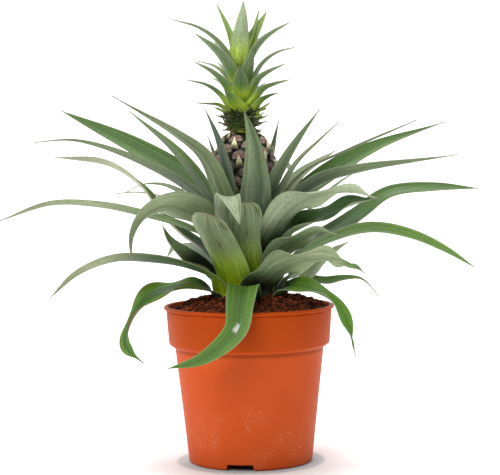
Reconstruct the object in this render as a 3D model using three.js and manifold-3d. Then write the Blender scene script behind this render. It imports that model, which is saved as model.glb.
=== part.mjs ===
// A pineapple plant in its nursery pot. Millimetres, +Z up.
// The origin is the middle of the flat foot the pot stands on; the front is the side seen from -Y.

import * as THREE from 'three';
import { mergeVertices } from 'three/addons/utils/BufferGeometryUtils.js';
import Module from 'manifold-3d';

const wasm = await Module();
wasm.setup();

// Clear distance left where two pieces touch in the real plant
const GAP = 0.3;
// Corners closer than this are one corner
const WELD = 1e-5;

// Pot: a thin moulded shell with a stepped collar and a beaded rim
const POT_SIDES = 48;
const POT_WALL = 1.2;
const POT_FLOOR = 1.4;
const POT_HEIGHT = 110.6;
const FOOT_DISC_RADIUS = 26;
const CHANNEL_OUTER_RADIUS = 33;
const CHANNEL_RISE = 2;
const CHANNEL_SLOPE = 0.8;
const FOOT_RADIUS = 43.8;
const FOOT_ROUND = 2.2;
const FOOT_ROUND_CORNER = 0.3;
const BODY_TOP_RADIUS = 52.5;
const BODY_TOP = 81;
const COLLAR_FOOT_RADIUS = 56.7;
const COLLAR_FOOT = 84.5;
const COLLAR_TOP_RADIUS = 58.4;
const COLLAR_TOP = 107.4;
const GROOVE_DEPTH = 0.4;
const RIM_RADIUS = 60;
const RIM_UNDERSIDE = 108.5;
const RIM_INNER_RADIUS = 57.1;
const RIM_EDGE = 0.4;
const WALL_STEP_RISE = 0.6;

// Slots moulded through the bottom edge of the pot, and drain holes in the raised channel
const SLOT_COUNT = 3;
const SLOT_FIRST_ANGLE = -100;
const SLOT_TOP_WIDTH = 18;
const SLOT_FOOT_WIDTH = 21.5;
const SLOT_HEIGHT = 4.5;
const SLOT_INNER_RADIUS = 37;
const HOLE_COUNT = 6;
const HOLE_SIDES = 12;
const HOLE_RADIUS = 2.2;
const CUT_OVERSHOOT = 8;

// Soil: a filled body with a plain well the stem and the leaf roots stand in
const SOIL_SIDES = 36;
const SOIL_RINGS = [[56.6, 106], [52, 109.5], [45, 113], [36, 115.5]];
const WELL_RADIUS = 29;
const WELL_EDGE = 115.5;
const WELL_FLOOR = 100;
const SOIL_TILT = 1.6;
const SOIL_TILT_ANGLE = -50;
const SOIL_LUMP = 0.9;
// Each wave of the lumps: how many around, change of phase a millimetre outwards, first phase
const LUMP_WAVES = [[3, 0.21, 0], [7, -0.34, 1.3], [11, 0.55, 0.4], [5, 0.8, 0]];

// Stem: a foot in the well, a cone that carries the leaf roots, the stalk under the fruit
const STEM_SIDES = 24;
const STEM_CLEAR = 0.95;
const STEM_FOOT_TOP = 118;
const STALK_RADIUS = 4.2;

// Fruit: a lattice of points in which every third one is the raised middle of an eye
const FRUIT_X = -2;
const FRUIT_RADIUS = 19.8;
const FRUIT_BOTTOM = 174;
const FRUIT_TOP = 233;
const FRUIT_COLUMNS = 21;
const FRUIT_ROWS = 13;
const FRUIT_SQUARENESS = 0.86;
const EYE_RISE = 2.2;
const EYE_TIP_LIFT = 1.6;
const EYE_PITCH = 3;

// Crown: a slim core with its leaves grown into it
const CROWN_X = -3.5;
const CORE_SIDES = 10;
const CORE_PROFILE = [[5.2, 0], [6.2, 6], [6.6, 18], [5.6, 34], [3.8, 50], [1.6, 62]];
const CORE_TIP_HEIGHT = 66;
const CROWN_FOOT = FRUIT_TOP + GAP;
const CORE_SINK = 3;
const CROWN_BLADE = 0.8;
const CROWN_CUP = 42;
const CROWN_SEGMENTS = 4;
const CROWN_STRIPS = 2;
const CROWN_TAPER = [1.9, 0.92];
const CROWN_ROOT_SHARE = 0.8;
const SPIKE_SEGMENTS = 2;

// Large crown leaves: widest, then the points of the midrib from the core outwards
const CROWN_LEAVES = [
  [17, [[-5, -7, 282], [-4, -8, 297], [-2, -7, 312], [-1, -5, 323]]],
  [8, [[-7, 5, 285], [-12, 9, 304], [-20, 14, 323]]],
  [13, [[-1, 6, 285], [6, 9, 300], [15, 13, 317]]],
  [6, [[1, 6, 290], [6, 10, 303], [10, 14, 319]]],
  [11, [[-9, -2, 278], [-19, -4, 294], [-33, -6, 305], [-51, -8, 311]]],
  [14, [[-9, -7, 269], [-14, -11, 280], [-23, -16, 291], [-34, -20, 300]]],
  [13, [[2, -3, 278], [9, -5, 291], [18, -7, 300], [31, -9, 308]]],
  [12, [[5, -2, 267], [12, -3, 279], [22, -4, 287], [35, -5, 291]]],
  [10, [[-10, 3, 264], [-16, 5, 273], [-23, 8, 279], [-35, 11, 283]]],
  [13, [[-11, -6, 258], [-17, -9, 267], [-24, -13, 274], [-35, -17, 281]]],
  [18, [[-4, -9, 256], [-4, -13, 263], [-4, -17, 271], [-4, -20, 278]]],
  [14, [[-1, -8, 266], [2, -11, 277], [5, -14, 290]]],
  [12, [[4, -6, 258], [9, -9, 268], [17, -12, 274], [27, -15, 279]]],
  [12, [[-12, -4, 248], [-19, -6, 258], [-28, -9, 265], [-41, -12, 269]]],
  [12, [[4, -7, 251], [12, -10, 261], [20, -13, 265], [30, -16, 268]]],
  [8, [[4, 4, 255], [9, 7, 263], [14, 10, 267]]],
  [8, [[-11, 5, 256], [-17, 8, 266], [-24, 12, 271]]],
  [16, [[-4, -9, 245], [-7, -13, 251], [-12, -16, 258], [-15, -17, 262]]],
  [12, [[3, -7, 243], [10, -9, 253], [16, -12, 257], [22, -14, 259]]],
  [10, [[-12, -4, 245], [-20, -6, 251], [-27, -8, 252], [-35, -10, 253]]],
  [9, [[4, -5, 242], [11, -7, 248], [17, -9, 253]]],
];

// Crown leaves on the far side, spread up the core by a fixed turn
const FAR_COUNT = 8;
const FAR_MIDDLE_ANGLE = 90;
const FAR_TURN = 137.5;
const FAR_SPREAD = 45;
const FAR_FIRST_Z = 243;
const FAR_STEP = 5;
const FAR_REACH = 28;
const FAR_RISE = 24;
const FAR_WIDTH = 9;
const FAR_START = 7;
const FAR_BEND_REACH = 0.45;
const FAR_BEND_RISE = 0.55;

// Short dark spikes at the foot of the crown: ring height above the core's foot, reach, tip rise
const SPIKE_RINGS = [[2.5, 16, 0], [6.5, 19, 1.5], [11, 20.5, 4]];
const SPIKE_START = 7.5;
const SPIKES_A_RING = 8;
const SPIKE_WIDTH = 8;

// Blades of the large leaves
const BLADE = 0.7;
const PATH_STEPS = 48;
const LEAF_SEGMENTS = 12;
const LEAF_STRIPS = 3;
const ROOT_SPREAD = 1.2;
const ROOT_LAYER = 1.02;
const ROOT_MARGIN = 0.25;
const ROOT_FIRST_RADIUS = 7;
const ROOT_TOP = 149;
const ROOT_SLOPE = 1.9;
const ROOT_LIFT = 12;
const ROOT_LIFT_LOSS = 0.4;
const ROOT_LEAN = 0.5;
const TIP_CUP_LOSS = 0.55;
const LEAST_WIDTH = 1;
const WAVE_POWER = 3;

// Stretches of a blade, as shares of its length, over which its shape changes
const WIDENS = [0, 0.28];
const OPENS = [0.02, 0.3];
const FLATTENS = [0.6, 1];
const TWISTS_FIRST = [0.1, 0.55];
const TWISTS_LAST = [0.5, 1];
const WAVES_RISE = [0.12, 0.3];
const WAVES_FADE = [0.85, 1];
const CROWN_WIDENS = [0, 0.3];
const CROWN_FLATTENS = [0.5, 1];

// Large leaves from the innermost root outwards: name, root angle, widest, half angle of the trough,
// twist by mid leaf, twist at the tip, edge wave [height, waves along, start, lead of one edge],
// narrowing [how late, how steep], points of the midrib
const LEAVES = [
  ['leaf_02', 54, 13, 45, 0, 0, [0, 0, 0, 0], [2.2, 1.1],
    [[12, 19, 188], [18, 25, 217], [23, 29, 240]]],
  ['leaf_03', 128, 12, 45, 0, 0, [0, 0, 0, 0], [2.2, 1.1],
    [[-16, 20, 187], [-22, 26, 211], [-28, 30, 230]]],
  ['leaf_04', -56, 17, 45, 0, 0, [0, 0, 0, 0], [2.2, 1.2],
    [[14, -18, 186], [24, -22, 207], [35, -26, 226], [50, -32, 247]]],
  ['leaf_05', -128, 15, 45, 0, 0, [0, 0, 0, 0], [2.2, 1.1],
    [[-12, -19, 186], [-15, -26, 208], [-20, -29, 228], [-28, -32, 248]]],
  ['leaf_06', 12, 19, 35, 0, 0, [0, 0, 0, 0], [2.2, 1.1],
    [[21, 8, 184], [36, 11, 210], [52, 13, 226], [66, 14, 239]]],
  ['leaf_01', -88, 28, 34, 0, 0, [0, 0, 0, 0], [2.2, 1.15],
    [[5, -25, 180], [6, -31, 205], [4, -35, 227], [-2, -36, 248]]],
  ['leaf_07', 87, 16, 45, 0, 0, [0, 0, 0, 0], [2.2, 1.1],
    [[1, 30, 186], [-3, 50, 212], [-8, 82, 220], [-13, 120, 206]]],
  ['leaf_09', -132, 25, 36, 0, 0, [0, 0, 0, 0], [2.2, 1.6],
    [[-17, -23, 183], [-29, -33, 214], [-48, -40, 231], [-91, -44, 258]]],
  ['leaf_10', -6, 13, 40, 0, -30, [0, 0, 0, 0], [2.2, 1.3],
    [[23, -9.5, 184], [40, -12, 204], [69, -14, 218], [118, -15, 239]]],
  ['leaf_08', 156, 23, 40, 55, 45, [0, 0, 0, 0], [2.2, 1.5],
    [[-19, 5, 172], [-34, 3, 196], [-52, 1, 220], [-82, 0, 248]]],
  ['leaf_11', 40, 21, 34, 10, 10, [0, 0, 0, 0], [2.2, 1.1],
    [[21, 16, 180], [38, 25, 201], [52, 30, 211], [64, 36, 218]]],
  ['leaf_12', 78, 18, 45, 0, 0, [0, 0, 0, 0], [2.2, 1.1],
    [[8, 28, 178], [17, 50, 201], [27, 80, 209], [36, 118, 199]]],
  ['leaf_13', 146, 22, 42, -45, -50, [0, 0, 0, 0], [2.3, 1.4],
    [[-20, 12, 174], [-42, 26, 197], [-80, 41, 222], [-136, 52, 250]]],
  ['leaf_14', -27, 20, 50, -30, -25, [0, 0, 0, 0], [2.2, 1.4],
    [[26, -14, 176], [50, -26, 197], [77, -33, 205], [143, -40, 215]]],
  ['leaf_15', -166, 22, 45, 18, 35, [0, 0, 0, 0], [2.2, 1.9],
    [[-22, -5, 168], [-42, -9, 192], [-88, -12, 218], [-120, -14, 228], [-147, -16, 227]]],
  ['leaf_16', 24, 24, 45, 50, 40, [0, 0, 0, 0], [2.2, 1.4],
    [[28, 14, 174], [60, 34, 202], [95, 48, 221], [146, 60, 238]]],
  ['leaf_17', 118, 18, 45, 0, 0, [0, 0, 0, 0], [2.2, 1.1],
    [[-17, 28, 172], [-32, 52, 189], [-44, 80, 194], [-52, 110, 184]]],
  ['leaf_18', -52, 30, 36, -36, -30, [3.5, 2.2, 0.2, 0], [2.0, 1.6],
    [[16, -21, 161], [32, -37, 181], [52, -51, 190], [70, -61, 191], [87, -68, 187]]],
  ['leaf_22', -156, 34, 33, 60, 70, [0, 0, 0, 0], [2.5, 0.92],
    [[-24, -21, 163], [-38, -37, 177], [-54, -52, 183],
      [-69, -61, 177], [-77, -66, 164], [-78, -68, 150]]],
  ['leaf_27', -107.9, 23.5, 40, 0, 40, [0, 0, 0, 0], [4, 1.1],
    [[-7.5, -26.6, 153.2], [-12, -40, 167], [-14, -50, 181],
      [-13, -62, 189], [-9, -75, 184], [-5, -82, 171]]],
  ['leaf_20', 90, 18, 45, 0, 0, [0, 0, 0, 0], [2.2, 1.1],
    [[2, 34, 162], [5, 62, 178], [8, 94, 180], [10, 130, 168]]],
  ['leaf_21', 138, 15, 40, 0, 0, [0, 0, 0, 0], [2.2, 1.1],
    [[-24, 24, 168], [-42, 38, 184], [-60, 48, 194], [-76, 54, 195], [-90, 60, 189]]],
  ['leaf_23', -25.0, 31, 40, 30, 40, [0, 0, 0, 0], [2.2, 1.1],
    [[22.4, -13.0, 155], [42, -22, 169], [64, -33, 180], [88, -46, 187]]],
  ['leaf_24', 150, 13, 40, 0, 0, [0, 0, 0, 0], [2.2, 1.1],
    [[-28, 22, 160], [-48, 40, 176], [-65, 54, 186], [-82, 62, 189], [-98, 68, 188]]],
  ['leaf_25', -164, 19, 45, 20, 35, [0, 0, 0, 0], [2.2, 1.1],
    [[-24, -10, 155], [-44, -16, 166], [-72, -21, 175],
      [-102, -22, 182], [-137, -20, 184], [-172, -18, 173]]],
  ['leaf_26', 70, 17, 45, 0, 0, [0, 0, 0, 0], [2.2, 1.1],
    [[17, 36, 160], [32, 64, 180], [46, 90, 184], [58, 116, 174]]],
  ['leaf_19', -87.5, 23.8, 35, 0, 0, [0, 0, 0, 0], [14, 0.5],
    [[-2.7, -34.7, 157.1], [-1.5, -48, 171], [-2, -60, 185]]],
  ['leaf_28', 34, 14, 40, -30, -40, [0, 0, 0, 0], [2.2, 1.1],
    [[32, 22, 160], [52, 38, 182], [67, 52, 194], [80, 62, 202]]],
  ['leaf_29', 150, 20, 45, 15, 80, [0, 0, 0, 0], [2.2, 1.1],
    [[-28, 15, 146], [-46, 27, 158], [-62, 37, 173],
      [-78, 43, 194], [-104, 48, 211], [-141, 52, 216]]],
  ['leaf_30', 42, 30, 45, 0, 30, [0, 0, 0, 0], [2.2, 1.1],
    [[27, 20, 146], [57, 34, 154], [83, 43, 170],
      [104, 49, 185], [138, 53, 190], [170, 55, 189]]],
  ['leaf_32', -48, 23, 38, -35, -30, [0, 0, 0, 0], [2.2, 1.1],
    [[20, -22, 144.5], [32, -40, 156], [46, -55, 164], [60, -66, 163]]],
  ['leaf_31', -10, 23, 45, -20, 20, [0, 0, 0, 0], [2.2, 1.3],
    [[31, -6, 141], [58, -7, 155], [86, -8, 162],
      [113, -9, 158], [138, -10, 148], [158, -12, 136]]],
  ['leaf_33', -120, 30, 30, 0, 0, [0, 0, 0, 0], [14, 0.5],
    [[-14, -29, 139], [-21, -44, 156], [-26, -56, 169], [-27, -63, 178]]],
  ['leaf_34', 104, 17, 45, 0, 0, [0, 0, 0, 0], [2.2, 1.1],
    [[-9, 38, 146], [-18, 66, 161], [-26, 96, 163], [-34, 126, 150]]],
  ['leaf_35', 168, 26, 45, -30, -20, [0, 0, 0, 0], [2.2, 1.1],
    [[-30, 8, 132], [-44, 11, 143], [-56, 13, 156], [-61, 14, 167]]],
  ['leaf_36', -75, 26, 42, -25, -10, [3.5, 2.5, 0.25, 1.9], [2.2, 1.3],
    [[11, -30, 129], [27, -48, 141], [46, -63, 147], [64, -75, 146], [77, -82, 138]]],
  ['leaf_37', -152, 23, 45, 28, 40, [0, 0, 0, 0], [2.2, 1.1],
    [[-25, -19, 131], [-42, -26, 139], [-66, -31, 144],
      [-92, -32, 145], [-118, -29, 136], [-138, -24, 119]]],
  ['leaf_38', -17, 20.5, 27, 10, 35, [0, 0, 0, 0], [2.2, 1.1],
    [[28.5, -9, 131], [38.5, -18, 138], [48, -26, 146]]],
  ['leaf_39', 80, 15, 45, 0, 0, [0, 0, 0, 0], [2.2, 1.1],
    [[11, 40, 136], [19, 70, 144], [28, 98, 142], [36, 124, 130]]],
  ['leaf_40', 128, 17, 45, 0, 0, [0, 0, 0, 0], [2.2, 1.1],
    [[-27, 34, 136], [-42, 56, 148], [-54, 76, 148], [-62, 94, 138]]],
  ['leaf_45', 43, 10, 20, 0, 0, [0, 0, 0, 0], [2.2, 1.1],
    [[33, 36, 127], [44, 51, 133], [54, 63, 131]]],
  ['leaf_41', 5, 17, 35, -60, -55, [0, 0, 0, 0], [2.2, 1.1],
    [[34, 3, 122], [43, 4, 131], [51, 5, 140], [61, 4, 148], [71, 4, 154]]],
  ['leaf_42', 36, 15, 35, 15, 0, [0, 0, 0, 0], [2.0, 1.6],
    [[42, 21.3, 125], [56, 26, 124], [70, 30, 126], [82, 33, 125], [95, 36, 112]]],
  ['leaf_43', -36, 17, 35, 5, -10, [1.5, 2.2, 0, 3], [2.2, 1.1],
    [[28, -29, 125], [42, -39, 125], [58, -45, 117], [67, -47, 100], [72, -49, 79]]],
  ['leaf_44', -163, 24, 35, 10, 20, [2, 2.4, 0, 3], [2.2, 1.1],
    [[-32, -15, 124], [-50, -25, 125], [-69, -36, 119],
      [-81, -42, 104], [-84, -44, 88], [-72, -48, 76]]],
  ['leaf_46', 98, 18, 40, 0, 0, [0, 0, 0, 0], [2.2, 1.1],
    [[-6, 46, 129], [-10, 66, 125], [-13, 84, 108], [-15, 90, 88]]],
  ['leaf_47', -96, 23, 22, 0, 0, [0, 0, 0, 0], [2.0, 1.0],
    [[-3, -35, 125], [-4, -50, 127], [-6, -66, 117],
      [-9, -75, 101], [-30, -76, 83], [-55, -69, 75]]],
];

// Leaves whose green upper face is the one mostly seen
const GREEN_LEAVES = [
  'leaf_13', 'leaf_16', 'leaf_23', 'leaf_30', 'leaf_31', 'leaf_35', 'leaf_38',
  'leaf_42', 'leaf_43', 'leaf_44', 'leaf_47',
];

const radians = THREE.MathUtils.degToRad;
const smooth = THREE.MathUtils.smoothstep;

// Colour and roughness of each kind of piece
const LOOKS = {
  pot: ['#c4552b', 0.5],
  soil: ['#4a2a1f', 0.95],
  stem: ['#a9b24a', 0.6],
  fruit: ['#8a6a4a', 0.6],
  crown: ['#6f9a4e', 0.55],
  silverLeaf: ['#8c9d84', 0.55],
  greenLeaf: ['#5f9140', 0.5],
};

// A plain geometry as a solid that can be joined and cut
function toSolid(geometry) {
  const plain = geometry.clone();
  plain.deleteAttribute('normal');
  plain.deleteAttribute('uv');
  const welded = mergeVertices(plain, WELD);
  return new wasm.Manifold(new wasm.Mesh({
    numProp: 3,
    vertProperties: new Float32Array(welded.attributes.position.array),
    triVerts: new Uint32Array(welded.index.array),
  }));
}

function toGeometry(solid) {
  const mesh = solid.getMesh();
  const geometry = new THREE.BufferGeometry();
  geometry.setAttribute('position', new THREE.BufferAttribute(mesh.vertProperties, 3));
  geometry.setIndex(new THREE.BufferAttribute(mesh.triVerts, 1));
  return geometry;
}

// Small hollows closed in where crowded leaves meet are filled: only the largest shell is kept
function withoutHollows(geometry) {
  const corners = geometry.index.array;
  const count = geometry.attributes.position.count;
  const parent = Array.from({ length: count }, (_, k) => k);
  const find = (start) => {
    let k = start;
    while (parent[k] !== k) {
      parent[k] = parent[parent[k]];
      k = parent[k];
    }
    return k;
  };
  for (let k = 0; k < corners.length; k += 3) {
    parent[find(corners[k])] = find(corners[k + 1]);
    parent[find(corners[k + 1])] = find(corners[k + 2]);
  }
  const sizes = new Map();
  for (const corner of corners) {
    sizes.set(find(corner), (sizes.get(find(corner)) ?? 0) + 1);
  }
  const [[largest]] = [...sizes].sort((a, b) => b[1] - a[1]);
  geometry.setIndex([...corners].filter((corner) => find(corner) === largest));
  return geometry;
}

function named(name, geometry, [color, roughness]) {
  const material = new THREE.MeshStandardMaterial({ color, roughness, metalness: 0 });
  const mesh = new THREE.Mesh(geometry, material);
  mesh.geometry.computeVertexNormals();
  mesh.name = name;
  return mesh;
}

function turned(profile, sides) {
  const points = profile.map(([r, z]) => new THREE.Vector2(r, z));
  return new THREE.LatheGeometry(points, sides).rotateX(Math.PI / 2);
}

// Inner face of the pot as radius and height, from the middle of the floor to the rim
function potInside() {
  const wallFoot = FOOT_RADIUS - POT_WALL;
  const channelTop = POT_FLOOR + CHANNEL_RISE;
  return [
    [0, POT_FLOOR],
    [FOOT_DISC_RADIUS - POT_WALL, POT_FLOOR],
    [FOOT_DISC_RADIUS - POT_WALL + CHANNEL_SLOPE, channelTop],
    [CHANNEL_OUTER_RADIUS + POT_WALL - CHANNEL_SLOPE, channelTop],
    [CHANNEL_OUTER_RADIUS + POT_WALL, POT_FLOOR],
    [wallFoot - CHANNEL_SLOPE, POT_FLOOR],
    [wallFoot, POT_FLOOR + POT_WALL],
    [BODY_TOP_RADIUS - POT_WALL, BODY_TOP + WALL_STEP_RISE],
    [COLLAR_FOOT_RADIUS - POT_WALL, COLLAR_FOOT + WALL_STEP_RISE],
    [RIM_INNER_RADIUS, COLLAR_TOP + WALL_STEP_RISE],
  ];
}

function potBody() {
  const outside = [
    [0, 0],
    [FOOT_DISC_RADIUS, 0],
    [FOOT_DISC_RADIUS + CHANNEL_SLOPE, CHANNEL_RISE],
    [CHANNEL_OUTER_RADIUS - CHANNEL_SLOPE, CHANNEL_RISE],
    [CHANNEL_OUTER_RADIUS, 0],
    [FOOT_RADIUS - FOOT_ROUND, 0],
    [FOOT_RADIUS - FOOT_ROUND * FOOT_ROUND_CORNER, FOOT_ROUND * FOOT_ROUND_CORNER],
    [FOOT_RADIUS, FOOT_ROUND],
    [BODY_TOP_RADIUS, BODY_TOP],
    [COLLAR_FOOT_RADIUS, COLLAR_FOOT],
    [COLLAR_TOP_RADIUS, COLLAR_TOP],
    [COLLAR_TOP_RADIUS - GROOVE_DEPTH, COLLAR_TOP + GROOVE_DEPTH],
    [RIM_RADIUS, RIM_UNDERSIDE],
    [RIM_RADIUS, POT_HEIGHT - RIM_EDGE],
    [RIM_RADIUS - RIM_EDGE, POT_HEIGHT],
    [RIM_INNER_RADIUS + RIM_EDGE, POT_HEIGHT],
    [RIM_INNER_RADIUS, POT_HEIGHT - RIM_EDGE],
  ];
  let body = toSolid(turned([...outside, ...potInside().reverse()], POT_SIDES));
  const slotLength = RIM_RADIUS - SLOT_INNER_RADIUS;
  const slotShape = new THREE.Shape([
    new THREE.Vector2(-SLOT_FOOT_WIDTH / 2, -CUT_OVERSHOOT),
    new THREE.Vector2(SLOT_FOOT_WIDTH / 2, -CUT_OVERSHOOT),
    new THREE.Vector2(SLOT_FOOT_WIDTH / 2, 0),
    new THREE.Vector2(SLOT_TOP_WIDTH / 2, SLOT_HEIGHT),
    new THREE.Vector2(-SLOT_TOP_WIDTH / 2, SLOT_HEIGHT),
    new THREE.Vector2(-SLOT_FOOT_WIDTH / 2, 0),
  ]);
  for (let k = 0; k < SLOT_COUNT; k += 1) {
    const angle = radians(SLOT_FIRST_ANGLE + k * 360 / SLOT_COUNT);
    const slot = new THREE.ExtrudeGeometry(slotShape, { depth: slotLength, bevelEnabled: false });
    slot.rotateX(Math.PI / 2);
    slot.translate(0, -SLOT_INNER_RADIUS, 0);
    slot.rotateZ(angle + Math.PI / 2);
    body = body.subtract(toSolid(slot));
  }
  const channelMiddle = (FOOT_DISC_RADIUS + CHANNEL_OUTER_RADIUS) / 2;
  for (let k = 0; k < HOLE_COUNT; k += 1) {
    const angle = (k + 0.5) * 2 * Math.PI / HOLE_COUNT;
    const drill = new THREE.CylinderGeometry(HOLE_RADIUS, HOLE_RADIUS, 2 * CUT_OVERSHOOT, HOLE_SIDES);
    drill.rotateX(Math.PI / 2);
    drill.translate(channelMiddle * Math.cos(angle), channelMiddle * Math.sin(angle), 0);
    body = body.subtract(toSolid(drill));
  }
  return toGeometry(body);
}

// Height of the soil's lumps, the same at both ends of the turn
function lump(angle, radius) {
  let height = SOIL_TILT * Math.cos(angle - radians(SOIL_TILT_ANGLE));
  for (const [count, outwards, start] of LUMP_WAVES) {
    height += SOIL_LUMP / 2 * Math.sin(count * angle + outwards * radius + start);
  }
  return height;
}

function soilBody() {
  const [topRadius, topEdge] = SOIL_RINGS[0];
  const wallFoot = FOOT_RADIUS - POT_WALL - GAP;
  const profile = [
    [0, POT_FLOOR + CHANNEL_RISE + GAP],
    [wallFoot, POT_FLOOR + CHANNEL_RISE + GAP],
    [BODY_TOP_RADIUS - POT_WALL - GAP, BODY_TOP + WALL_STEP_RISE + GAP],
    [COLLAR_FOOT_RADIUS - POT_WALL - GAP, COLLAR_FOOT + WALL_STEP_RISE + GAP],
    ...SOIL_RINGS,
    [WELL_RADIUS, WELL_EDGE],
    [WELL_RADIUS, WELL_FLOOR],
    [0, WELL_FLOOR],
  ];
  const geometry = turned(profile, SOIL_SIDES);
  const spots = geometry.attributes.position;
  for (let k = 0; k < spots.count; k += 1) {
    const radius = Math.hypot(spots.getX(k), spots.getY(k));
    if (spots.getZ(k) > topEdge - GAP) {
      const angle = Math.atan2(spots.getY(k), spots.getX(k));
      const share = Math.min(1, radius / topRadius);
      spots.setZ(k, spots.getZ(k) + lump(angle, radius) * share);
    }
  }
  return toGeometry(toSolid(geometry));
}

function stemBody() {
  const coneRadius = (z) => ROOT_FIRST_RADIUS + (ROOT_TOP - z) / ROOT_SLOPE - STEM_CLEAR;
  const stalkTop = FRUIT_BOTTOM - GAP;
  const footRadius = coneRadius(STEM_FOOT_TOP);
  const profile = [
    [0, WELL_FLOOR + GAP],
    [footRadius, WELL_FLOOR + GAP],
    [footRadius, STEM_FOOT_TOP],
    [coneRadius(ROOT_TOP), ROOT_TOP],
    [STALK_RADIUS, ROOT_TOP + STALK_RADIUS],
    [STALK_RADIUS, stalkTop],
    [0, stalkTop],
  ];
  return toGeometry(toSolid(turned(profile, STEM_SIDES)));
}

// The fruit's skin: staggered rows between two poles, eye middles raised and drawn upwards
function fruitBody() {
  const middle = (FRUIT_TOP + FRUIT_BOTTOM) / 2;
  const halfHeight = (FRUIT_TOP - FRUIT_BOTTOM) / 2;
  const positions = [FRUIT_X, 0, FRUIT_BOTTOM];
  const triangles = [];
  const spot = (row, column) => 1 + row * FRUIT_COLUMNS + (column + FRUIT_COLUMNS) % FRUIT_COLUMNS;
  for (let row = 0; row < FRUIT_ROWS; row += 1) {
    const across = Math.PI * (row + 1) / (FRUIT_ROWS + 1);
    const shift = (row % 2 ? EYE_PITCH - 1 : 0) - Math.floor(row / 2) + EYE_PITCH * FRUIT_ROWS;
    for (let column = 0; column < FRUIT_COLUMNS; column += 1) {
      const angle = 2 * Math.PI * (column + (row % 2) / 2) / FRUIT_COLUMNS;
      const raised = (column + shift) % EYE_PITCH === 0;
      const lift = raised ? Math.sin(across) : 0;
      const round = Math.sin(across) ** FRUIT_SQUARENESS;
      const radius = FRUIT_RADIUS * round + EYE_RISE * lift;
      positions.push(FRUIT_X + radius * Math.cos(angle), radius * Math.sin(angle));
      positions.push(middle - halfHeight * Math.cos(across) + EYE_TIP_LIFT * lift);
    }
  }
  positions.push(FRUIT_X, 0, FRUIT_TOP);
  const topPole = 1 + FRUIT_ROWS * FRUIT_COLUMNS;
  for (let column = 0; column < FRUIT_COLUMNS; column += 1) {
    triangles.push(0, spot(0, column + 1), spot(0, column));
    triangles.push(topPole, spot(FRUIT_ROWS - 1, column), spot(FRUIT_ROWS - 1, column + 1));
    for (let row = 0; row < FRUIT_ROWS - 1; row += 1) {
      const a = spot(row, column);
      const b = spot(row, column + 1);
      const c = spot(row + 1, column);
      const d = spot(row + 1, column + 1);
      if (row % 2) {
        triangles.push(a, b, d, a, d, c);
      } else {
        triangles.push(a, b, c, b, d, c);
      }
    }
  }
  const geometry = new THREE.BufferGeometry();
  geometry.setAttribute('position', new THREE.Float32BufferAttribute(positions, 3));
  geometry.setIndex(triangles);
  return toGeometry(toSolid(geometry));
}

// Even points along a smooth curve with the blade's own side direction carried along it
function midrib(points, side) {
  const curve = new THREE.CatmullRomCurve3(points, false, 'centripetal');
  const spots = curve.getSpacedPoints(PATH_STEPS);
  let across = side.clone();
  return spots.map((spot, k) => {
    const before = spots[Math.max(0, k - 1)];
    const after = spots[Math.min(PATH_STEPS, k + 1)];
    const along = after.clone().sub(before).normalize();
    across = across.clone().addScaledVector(along, -across.dot(along)).normalize();
    return { spot, along, across };
  });
}

function midribAt(frames, t) {
  const place = t * PATH_STEPS;
  const k = Math.min(Math.floor(place), PATH_STEPS - 1);
  const part = place - k;
  const spot = frames[k].spot.clone().lerp(frames[k + 1].spot, part);
  const along = frames[k].along.clone().lerp(frames[k + 1].along, part).normalize();
  const across = frames[k].across.clone().lerp(frames[k + 1].across, part);
  across.addScaledVector(along, -across.dot(along)).normalize();
  return { spot, along, across };
}

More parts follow.
